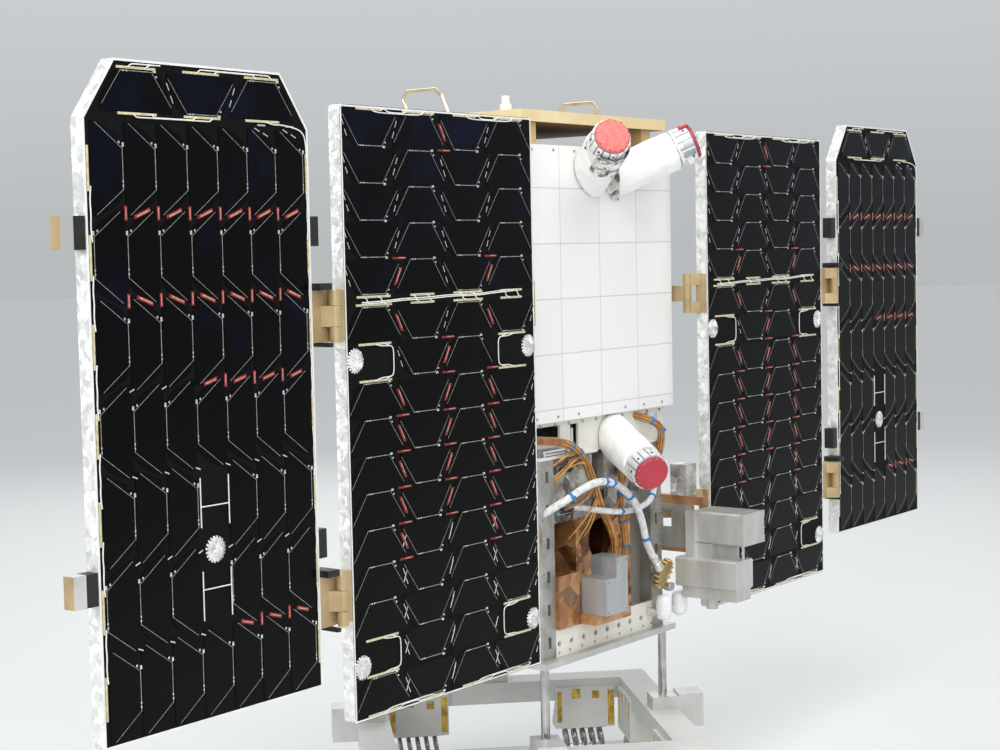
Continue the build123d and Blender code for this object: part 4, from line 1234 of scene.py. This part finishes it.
caps_bm = bmesh.new()
cap(caps_bm, aimed(*tracker_frames["upper_left"]), 9)
cap(caps_bm, aimed(*tracker_frames["upper_right"]), 9, 2)
upper_side = into_right @ (camera_up - camera_forward * 0.5)
right_high = right_at @ Matrix.Rotation(math.atan2(upper_side.y, upper_side.x), 4, "Z")
block(caps_bm, (22, -3.4, 110), (29.2, 3.4, 123), 1.2, right_high, 2)
block(caps_bm, (27, -6.0, 108), (30.6, 6.0, 112), 1.4, right_high, 2)
upper_caps = piece("upper_caps", "bus", caps_bm, coral, dark_paint, deep_red)
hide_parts("upper_tracker_caps")
caps_bm = bmesh.new()
cap(caps_bm, aimed(*tracker_frames["lower"]), 14, 0, 1)
lower_cap = piece("lower_cap", "bus", caps_bm, deep_red, coral)
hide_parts("lower_tracker_cap")
print("tracker caps:", upper_caps.name, lower_cap.name)

# %% [markdown]
# Beside the left head the wrap is open, and crumpled foil shows there. It is a part of a tube
# around the barrel. Patches of darker foil on it are painted shade.

# %% Foil collar
def crumple(bm, amount, size, seed):
    """Moves each vertex a little along its normal by ridged noise."""
    bm.normal_update()
    for vert in bm.verts:
        where = vert.co * (1 / size) + Vector((seed, seed, 0))
        vert.co += vert.normal * (1 - 2 * abs(noise.noise(where)) + 0.5 * noise.noise(where * 3.1)) * amount


def sheet(name, bm, grid, crease, tint, materials, smooth_angle):
    """Closes rows of points into a crumpled sheet, with the second material in patches as painted shade."""
    for first, second in zip(grid, grid[1:]):
        for a, b, c, d in zip(first, first[1:], second[1:], second):
            bm.faces.new((a, b, c, d))
    crumple(bm, *crease)
    shade_patch_size, shade_patch_shift, shade_patch_limit = tint
    for face in bm.faces:
        shade = noise.noise(face.calc_center_median() / shade_patch_size + Vector((shade_patch_shift, 0, 0)))
        face.material_index = 1 if shade > shade_patch_limit else 0
    bmesh.ops.solidify(bm, geom=bm.faces[:], thickness=foil_thickness)
    return piece(name, "bus", bm, *materials, smooth_angle=smooth_angle)


foil_thickness = 0.3
first_height = 56
last_height = 104
collar_bm = bmesh.new()
left_at = aimed(*tracker_frames["upper_left"])
local_side = left_at.to_3x3().inverted() @ slant_side
middle_angle = math.atan2(local_side.y, local_side.x)
columns = 40
rows = 18
grid = []
for row in range(rows + 1):
    reach = 29.6 + 1.2 * math.sin(row * 0.9)
    ring = []
    for column in range(columns + 1):
        share = column / columns * 2 - 1
        angle = middle_angle + share * math.radians(88)
        wave = 4 * noise.noise(Vector((share * 4, row * 0.3, 2)))
        height = first_height + (last_height - first_height) * row / rows + 6 * share * share + wave
        place = Vector((reach * math.cos(angle), reach * math.sin(angle), height))
        ring.append(collar_bm.verts.new(left_at @ place))
    grid.append(ring)
collar = sheet("foil_collar", collar_bm, grid, (1.7, 7.0, 4), (9.0, 7, 0.12), (foil, dark_foil), 12)
print("faces of the collar:", len(collar.data.polygons))

# %% [markdown]
# The cloth hangs from the open wrap in a gathered fold between the two barrels. Its cloth is a
# darker copy with patches of darker foil: the folds are real, their darkness is painted shade. The
# fold is laid on the cloth by looking for the first surface behind each of its points.

# %% Gathered fold
bpy.context.view_layer.update()
graph = bpy.context.evaluated_depsgraph_get()
cloth_tree = BVHTree.FromObject(upper_blanket, graph)
look = camera_forward
fold_corners = ((-66, -222, 969), (-24, -222, 968), (-22, -222, 917), (-40, -222, 918))
high_left, high_right, low_right, low_left = [Vector(corner) for corner in fold_corners]
fold_bm = bmesh.new()
columns = 30
rows = 26
grid = []
for row in range(rows + 1):
    down = row / rows
    ring = []
    for column in range(columns + 1):
        across = column / columns
        aim_point = high_left.lerp(high_right, across).lerp(low_left.lerp(low_right, across), down)
        hit = cloth_tree.ray_cast((aim_point - look * 200) * MM, look, 0.6)[0]
        surface = hit / MM if hit else aim_point + look * ((-166 - aim_point.y) / look.y)
        surface.y = min(surface.y, -166.5)
        gather = abs(math.sin(across * math.pi * 3.5 + down * 0.8))
        lift = 1.2 + 3.4 * gather * (0.35 + 0.65 * math.sin(down * math.pi))
        ring.append(fold_bm.verts.new(surface - look * lift))
    grid.append(ring)
fold = sheet("gathered_fold", fold_bm, grid, (0.7, 8.0, 9), (11.0, 0, 0.22), (shaded_cloth, dark_foil), 16)
print("faces of the fold:", len(fold.data.polygons))

# %% [markdown]
# ## Harness in the bay
#
# Five cables cross the bay. Each is one smooth line from its seat to its end. The amber ones are
# bundles of bare orange wires, which are drawn as strands around that line. The white ones wear a
# woven sleeve. Blue lacing cord is tied around them.

# %% Cables
routes = {
    "amber_long": (5.5, (
        (-176, -152, 579), (-134, -178, 576), (-92, -176, 566), (-57, -172, 543), (-32, -168, 510),
        (-10, -166, 466), (20, -166, 430), (34, -164, 392), (44, -145, 352),
    )),
    "amber_short": (4.5, (
        (74, -143, 531), (52, -164, 503), (38, -166, 466), (50, -166, 425), (62, -163, 390), (66, -147, 350),
    )),
    "amber_right": (5.0, ((100, -148, 592), (124, -174, 584), (150, -177, 560), (148, -162, 515))),
    "white_long": (5.5, (
        (-146, -160, 472), (-122, -186, 492), (-92, -192, 505), (-52, -194, 512), (-8, -194, 503),
        (36, -194, 474), (58, -194, 438), (66, -194, 405), (84, -194, 383),
    )),
    "white_short": (4.5, (
        (-50, -143, 470), (-18, -179, 463), (26, -182, 456), (72, -182, 456), (112, -180, 468),
        (142, -162, 488),
    )),
}
lacing = {
    "amber_long": (0.22, 0.3, 0.52, 0.66), "amber_short": (0.3, 0.55, 0.8), "amber_right": (0.3, 0.6),
    "white_long": (0.12, 0.4, 0.47, 0.62, 0.9), "white_short": (0.35, 0.55, 0.85),
}


def centreline(curve_object):
    """Points along a curve's own smooth line, in metres, read from a copy without thickness."""
    bare = curve_object.data.copy()
    bare.bevel_depth = 0
    probe = bpy.data.objects.new("probe", bare)
    mesh = bpy.data.meshes.new_from_object(probe)
    points = [vert.co.copy() for vert in mesh.vertices]
    bpy.data.meshes.remove(mesh)
    bpy.data.objects.remove(probe)
    bpy.data.curves.remove(bare)
    return points


harness = []
lines_of = {}
for name, (radius, points) in routes.items():
    cable = wires(name, "bus", radius, [points], sleeve if name.startswith("white") else brown_wire)
    cable.data.resolution_u = 12
    cable.data.bevel_resolution = 4
    lines_of[name] = centreline(cable)
    harness.append(cable)
for name, line in lines_of.items():
    sum((b - a).length for a, b in zip(line, line[1:]))

# %% [markdown]
# The strands of an amber bundle are smaller wires that wind slowly around the centreline, and a
# lacing tie is a short turned band with a knot.

# %% Strands and lacing
def side_vectors(line, index):
    """Two directions square to a line at one of its points."""
    before = line[max(index - 1, 0)]
    after = line[min(index + 1, len(line) - 1)]
    along = (after - before).normalized()
    side = along.cross(Vector((0, 1, 0))).normalized()
    return along, side, along.cross(side).normalized()


strand_count = 15


def wound(line, radius, strand):
    """One strand that winds slowly around a line, in millimetres."""
    path = []
    reach = (radius - 0.2) * MM
    for index in range(0, len(line), 6):
        along, side, other = side_vectors(line, index)
        angle = 2 * math.pi * strand / strand_count + index * 0.03
        place = line[index] + side * math.cos(angle) * reach + other * math.sin(angle) * reach
        path.append([value / MM for value in place])
    return path


for name, (radius, points) in routes.items():
    line = lines_of[name]
    if name.startswith("amber"):
        strands = [wound(line, radius, strand) for strand in range(strand_count)]
        wires(f"{name}_strands", "bus", 1.05, strands[::2], amber_wire)
        wires(f"{name}_dark_strands", "bus", 1.0, strands[1::2], brown_wire)
    ties_bm = bmesh.new()
    for share in lacing[name]:
        index = int(share * (len(line) - 1))
        along, side, other = side_vectors(line, index)
        at = aimed(line[index] / MM, along)
        outer = radius + 1.0
        ridge = outer + 0.35
        band = (
            (radius - 0.6, -2.2), (outer, -2.0), (ridge, -0.9), (outer, 0), (ridge, 0.9), (outer, 2.0),
            (radius - 0.6, 2.2),
        )
        turned(ties_bm, band, at, steps=20)
        knot = aimed(line[index] / MM + Vector((0, -outer, 0)), (0.3, -1, 0.2))
        turned(ties_bm, ((0, 2.6), (1.4, 2.2), (1.8, 1.0), (1.2, -0.4), (0, -0.6)), knot, steps=10)
    piece(f"{name}_lacing", "bus", ties_bm, lacing_blue)
print("lacing ties:", sum(len(shares) for shares in lacing.values()))

# %% [markdown]
# Short leads run from the connectors to the nearest bundle, and a fan of them drops from the first
# tie to the wrapped box. Both ends of each are held, so they are fixed wiring and not loose cords.

# %% Leads at the connectors
random.seed(33)
lead_ways = [
    ((-128, 506), (-108, -172, 530), (-84, -176, 548), (-66, -172, 548)),
    ((-128, 528), (-112, -174, 548), (-90, -178, 560), (-72, -174, 553)),
    ((-78, 528), (-74, -168, 536), (-62, -176, 540), (-50, -171, 533)),
    ((-78, 470), (-62, -172, 484), (-44, -176, 500), (-30, -169, 506)),
    ((90, 512), (80, -168, 522), (62, -170, 508), (46, -164, 486)),
    ((118, 512), (108, -172, 530), (80, -174, 516), (50, -165, 494)),
]
leads = []
for start, *way in lead_ways:
    for number in range(5):
        lead = [(start[0] + 5 * (number - 2), -152, start[1])]
        for place in way:
            shift = 3.2 if place is not way[-1] else 1.5
            lead.append(tuple(value + random.uniform(-shift, shift) for value in place))
        leads.append(lead)
fan_feet = (
    (-66, 426), (-56, 432), (-47, 420), (-38, 434), (-29, 424), (-20, 434), (30, 440), (42, 436), (54, 440),
)
for x, z in fan_feet:
    gather = (-18, -168, 487) if x < 0 else (44, -165, 482)
    middle = ((x + gather[0]) / 2 + random.uniform(-5, 5), -168, (z + gather[2]) / 2 + 6)
    leads.append([gather, middle, (x, -158, z + 10), (x, -147, z)])
lead_radius = 1.2
wires("connector_leads", "bus", lead_radius, leads[::2], amber_wire)
wires("dark_connector_leads", "bus", lead_radius, leads[1::2], brown_wire)
print("leads:", len(leads))

# %% Gold disc, white caps and backshell
fittings_bm = bmesh.new()
gold_place = (121, -187, 351)
gold_at = aimed(gold_place, (0.12, -0.93, -0.33))
disc_profile = ((0, 2.6), (15.5, 2.8), (16.5, 4.4), (19.0, 4.6), (19.8, 3.6), (19.8, -4), (18, -5), (0, -5))
turned(fittings_bm, disc_profile, gold_at, steps=56, material=0)
stud = ((0, 6.0), (1.9, 5.6), (2.4, 4.4), (2.4, -4.4), (0, -5.0))
studs = 16
for number in range(studs):
    stud_at = spun(gold_at, number, studs) @ Matrix.Translation((21.6, 0, 0))
    turned(fittings_bm, stud, stud_at, steps=10)
neck_at = aimed((130, -165, 351), (0, -1, 0))
turned(fittings_bm, ((9, 0), (9, 6), (7.6, 7), (7.6, 15), (9, 16), (9, 20)), neck_at, steps=28, material=1)
shell_at = aimed((84, -194, 383), (0.633, 0, -0.774))
shell = ((5.6, 0), (7.4, 0.6), (7.4, 6), (6.6, 7), (6.6, 12), (7.5, 13), (7.5, 27), (6, 28))
turned(fittings_bm, shell, shell_at, steps=24, material=1)
ball_at = aimed((147, -165, 327), (0, -1, 0))
ball = ((5, 0), (5, 8), (6.4, 10), (7.5, 14), (7.5, 19), (6, 23), (0, 24))
turned(fittings_bm, ball, ball_at, steps=24, material=1)
half_dome = [(0, 19), (5.5, 18.6), (9.2, 16.6), (11.4, 12.6), (12, 7)]
dome = half_dome + [(radius, -height) for radius, height in reversed(half_dome)]
for x in (118, 163):
    cap_at = aimed((x, -190, 300), (0, 0, 1))
    turned(fittings_bm, dome, cap_at, steps=32, material=2)
    stub = min(x, 154)
    block(fittings_bm, (stub - 11, -186, 287), (stub - 1, -165, 299), 1.5, None, 1)
fittings = piece("harness_fittings", "bus", fittings_bm, gold, bright_aluminium, white_plastic)
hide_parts("bay_harness")
print("studs around the gold disc:", studs)

# %% [markdown]
# The smooth harness node gives way to the cables. Each one is a loose cord, so its length and its
# diameter are recorded with the pieces that move with it.

# %% Cords
for cable in harness:
    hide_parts("bay_harness")
for name, (radius, points) in routes.items():
    kinds = ("lacing", "strands", "dark_strands") if name.startswith("amber") else ("lacing",)
    [value * MM for value in points[0]]
print("harness pieces:", len(harness) + 1)

# %% [markdown]
# ## Small hardware
#
# Screws hold the boxes, the rails and the radiator. Each row of the table gives where the screws
# stand across and upwards, the front surface they are on, and the radius and height of a head.

# %% Screws
front_screws = (
    (range(-170, 171, 34), (594,), -153.2, 2.2, 1.6),
    ((-118, -92, -62, -30, 2, 34, 66, 98, 120), (273,), -165.1, 1.8, 1.4),
    ((-151, 151), range(290, 540, 25), -165.1, 1.9, 1.5),
    ((-160, -110, -60, 60, 110, 160), (607, 979), -165.1, 2.0, 1.2),
    ((-145, -100, -60, -10), (458, 488, 537), -145.2, 2.2, 1.6),
    ((60, 90, 120, 145), (460, 532), -145.2, 2.2, 1.6),
    ((-67,), (326, 369), -216.1, 1.5, 1.0),
    ((-21,), (326, 397), -216.1, 1.5, 1.0),
    ((-41,), (397,), -216.1, 1.5, 1.0),
)
bolts_bm = bmesh.new()
for columns, heights, y, radius, head in front_screws:
    for x in columns:
        for z in heights:
            bolt(bolts_bm, (x, y, z), (0, -1, 0), radius, head)
screws = piece("bay_screws", "bus", bolts_bm, steel)
print("screw faces:", len(screws.data.polygons))

# %% [markdown]
# Six small plugs sit where the leads start. Above them, at the left, lies a long white socket with
# two rows of pins between two screws. A small white plug sits beside the boxes on the right.

# %% Connectors
connectors_bm = bmesh.new()
plug_places = ((-128, 506), (-128, 528), (-78, 528), (-78, 470), (90, 512), (118, 512))
pins_in_row = 16
pin_pitch = 3.1
first_pin = -135
for x, z in plug_places:
    block(connectors_bm, (x - 19, -152, z - 6), (x + 19, -145, z + 6), 1.2, None, 0)
    block(connectors_bm, (x - 14, -155, z - 4), (x + 14, -151, z + 4), 1.5, None, 1)
    for side in (-1, 1):
        bolt(connectors_bm, (x + side * 16.5, -152, z), (0, -1, 0), 1.6, 3.0, 2)
block(connectors_bm, (-146, -158, 546), (-78, -153, 563), 1.2, None, 0)
block(connectors_bm, (-138, -160.5, 549), (-86, -157, 560), 1.5, None, 3)
for number in range(pins_in_row):
    for z in (552.4, 556.6):
        x = first_pin + pin_pitch * number
        block(connectors_bm, (x, -161, z - 0.9), (x + 1.6, -160, z + 0.9), 0, None, 1)
for x in (-142, -82):
    bolt(connectors_bm, (x, -158, 554.5), (0, -1, 0), 1.8, 3.2, 2)
block(connectors_bm, (161, -225, 406), (169, -218, 428), 0.8, None, 3)
block(connectors_bm, (158, -223, 412), (164, -219, 422), 0.5, None, 1)
piece("connectors", "bus", connectors_bm, connector_grey, dark_paint, steel, white_plastic)
print("plugs:", len(plug_places))

# %% [markdown]
# The stand's frame is square and turned by 45 degrees. At each of its four sides two wire-rope
# isolators carry it on the base ring. An isolator has a bar above and a bar below, and real loops
# of rope between them.

# %% Wire-rope isolators
half_frame = 196.5
along_bar = half_frame - 10.5 - 49
bar_half = 36
rope_loops = 5
loop_steps = 10
loop_reach = 17.5
loop_rise = 16.5
loop_lean = 2.5
loop_middle = 20
stand_spots = [(45 + 90 * quarter, side * along_bar) for quarter in range(4) for side in (-1, 1)]


def on_stand(turn, place):
    """A place on one side of the stand's base frame, turned around the upright axis."""
    return Matrix.Rotation(math.radians(turn), 4, "Z") @ Matrix.Translation(place)


isolator_bm = bmesh.new()
loops = []
for turn, along in stand_spots:
    at = on_stand(turn, (half_frame + 18.5, along, 17))
    for low, high in ((0, 6), (34, 40)):
        block(isolator_bm, (-7, -bar_half, low), (7, bar_half, high), 0.8, at)
        for y in (-21.6, -7.2, 7.2, 21.6, 28.8):
            bolt(isolator_bm, at @ Vector((0, y, high - 0.2)), (0, 0, 1), 1.8, 0.6, 0)
    for number in range(rope_loops):
        y = 2 * bar_half * ((number + 0.5) / rope_loops - 0.5)
        loop = []
        for step in range(loop_steps):
            angle = 2 * math.pi * step / loop_steps
            rise = math.sin(angle)
            out = loop_reach * math.cos(angle)
            loop.append(tuple(at @ Vector((out, y + loop_lean * rise, loop_middle + loop_rise * rise))))
        loops.append(loop)
bars = piece("isolator_bars", "bus", isolator_bm, bright_aluminium)
ropes = wires("isolator_ropes", "bus", 3.3, loops, rope_steel, cyclic=True)
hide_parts("wire_rope_isolators")
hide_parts("wire_rope_isolators")
print("rope loops:", len(loops))

# %% [markdown]
# Pieces of amber tape are stuck on both faces of the brackets above the isolators. Each lies a
# little off its place.

# %% Tape on the brackets
random.seed(21)
bracket_faces = (190.2, half_frame)
tape_thickness = 0.3
patches = ((-47, -37, 62, 120), (38, 46, 66, 118), (-24, -12, 104, 117), (8, 22, 106, 122))
patch_bm = bmesh.new()
for turn, along in stand_spots:
    at = on_stand(turn, (0, along, 0))
    for face_u in bracket_faces:
        for y0, y1, z0, z1 in patches:
            rise = random.uniform(-3, 3)
            drift = rise * 0.4
            low = (face_u, y0 + drift, z0 + rise)
            block(patch_bm, low, (face_u + tape_thickness, y1 + drift, z1 + rise), 0.1, at)
piece("bracket_tape", "bus", patch_bm, tape_amber)
print("pieces of tape:", len(stand_spots) * len(bracket_faces) * len(patches))

# %% [markdown]
# ## Hall light and floor
#
# The hall has a pale floor and a ceiling full of wide, soft lamps. Four large area lamps and a
# pale world stand in for them. The camera and mirror-like rays see a backdrop that gets lighter
# from the horizon upwards. All other rays get an even fill, so the colours of the pieces don't
# depend on the backdrop.

# %% Light and floor
def area_lamp(name, place, aim, width, power):
    """A square soft lamp at a place, turned towards aim."""
    data = bpy.data.lights.new(name, "AREA")
    data.shape = "SQUARE"
    data.size = width
    data.energy = power
    lamp = bpy.data.objects.new(name, data)
    lamp.location = place
    lamp.rotation_euler = (Vector(aim) - Vector(place)).to_track_quat("-Z", "Y").to_euler()
    bpy.context.scene.collection.objects.link(lamp)


middle_of_bus = (0, 0, 0.6)
area_lamp("ceiling_lamp", (-0.6, -1.2, 3.6), middle_of_bus, 3.0, 70)
area_lamp("left_lamp", (-3.2, -3.0, 2.2), middle_of_bus, 2.2, 60)
area_lamp("side_lamp", (-4.2, 0.6, 2.0), (-0.4, 0, 0.6), 2.2, 46)
area_lamp("back_lamp", (2.6, 2.4, 2.6), middle_of_bus, 2.4, 34)

world = bpy.data.worlds.new("hall")
bpy.context.scene.world = world
world.use_nodes = True
world_tree = world.node_tree
world_tree.nodes.clear()
path = add(world_tree, "LightPath")
fill = add(world_tree, "Background", Color=linear("#e3e6e8"), Strength=0.7)
direction = add(world_tree, "TexCoord")
upward = add(world_tree, "SeparateXYZ", {0: direction.outputs["Generated"]})
wall_tone = tones(world_tree, upward.outputs["Z"], "#b8bbbd", "#dde0e2", 0.0, 0.3)
backdrop = add(world_tree, "Background", {"Color": wall_tone}, Strength=1.0)
both = add(world_tree, "MixShader", {1: fill.outputs[0], 2: backdrop.outputs[0]})
kinds = {0: path.outputs["Is Camera Ray"], 1: path.outputs["Is Glossy Ray"]}
seen = add(world_tree, "Math", kinds, operation="MAXIMUM")
world_tree.links.new(seen.outputs[0], both.inputs[0])
add(world_tree, "OutputWorld", {"Surface": both.outputs[0]})

floor_material = new_material("pale_floor", Base_Color=linear("#eceded"), Roughness=0.5)[0]
floor_mesh = bpy.data.meshes.new("floor")
floor_bmesh = bmesh.new()
bmesh.ops.create_grid(floor_bmesh, x_segments=1, y_segments=1, size=30)
floor_bmesh.to_mesh(floor_mesh)
floor_bmesh.free()
floor_mesh.materials.append(floor_material)
floor = bpy.data.objects.new("floor", floor_mesh)
bpy.context.scene.collection.objects.link(floor)
bpy.context.scene.view_settings.view_transform = "Standard"
print("lamps:", len(bpy.data.lights))

# %% Finish
bpy.context.view_layer.update()
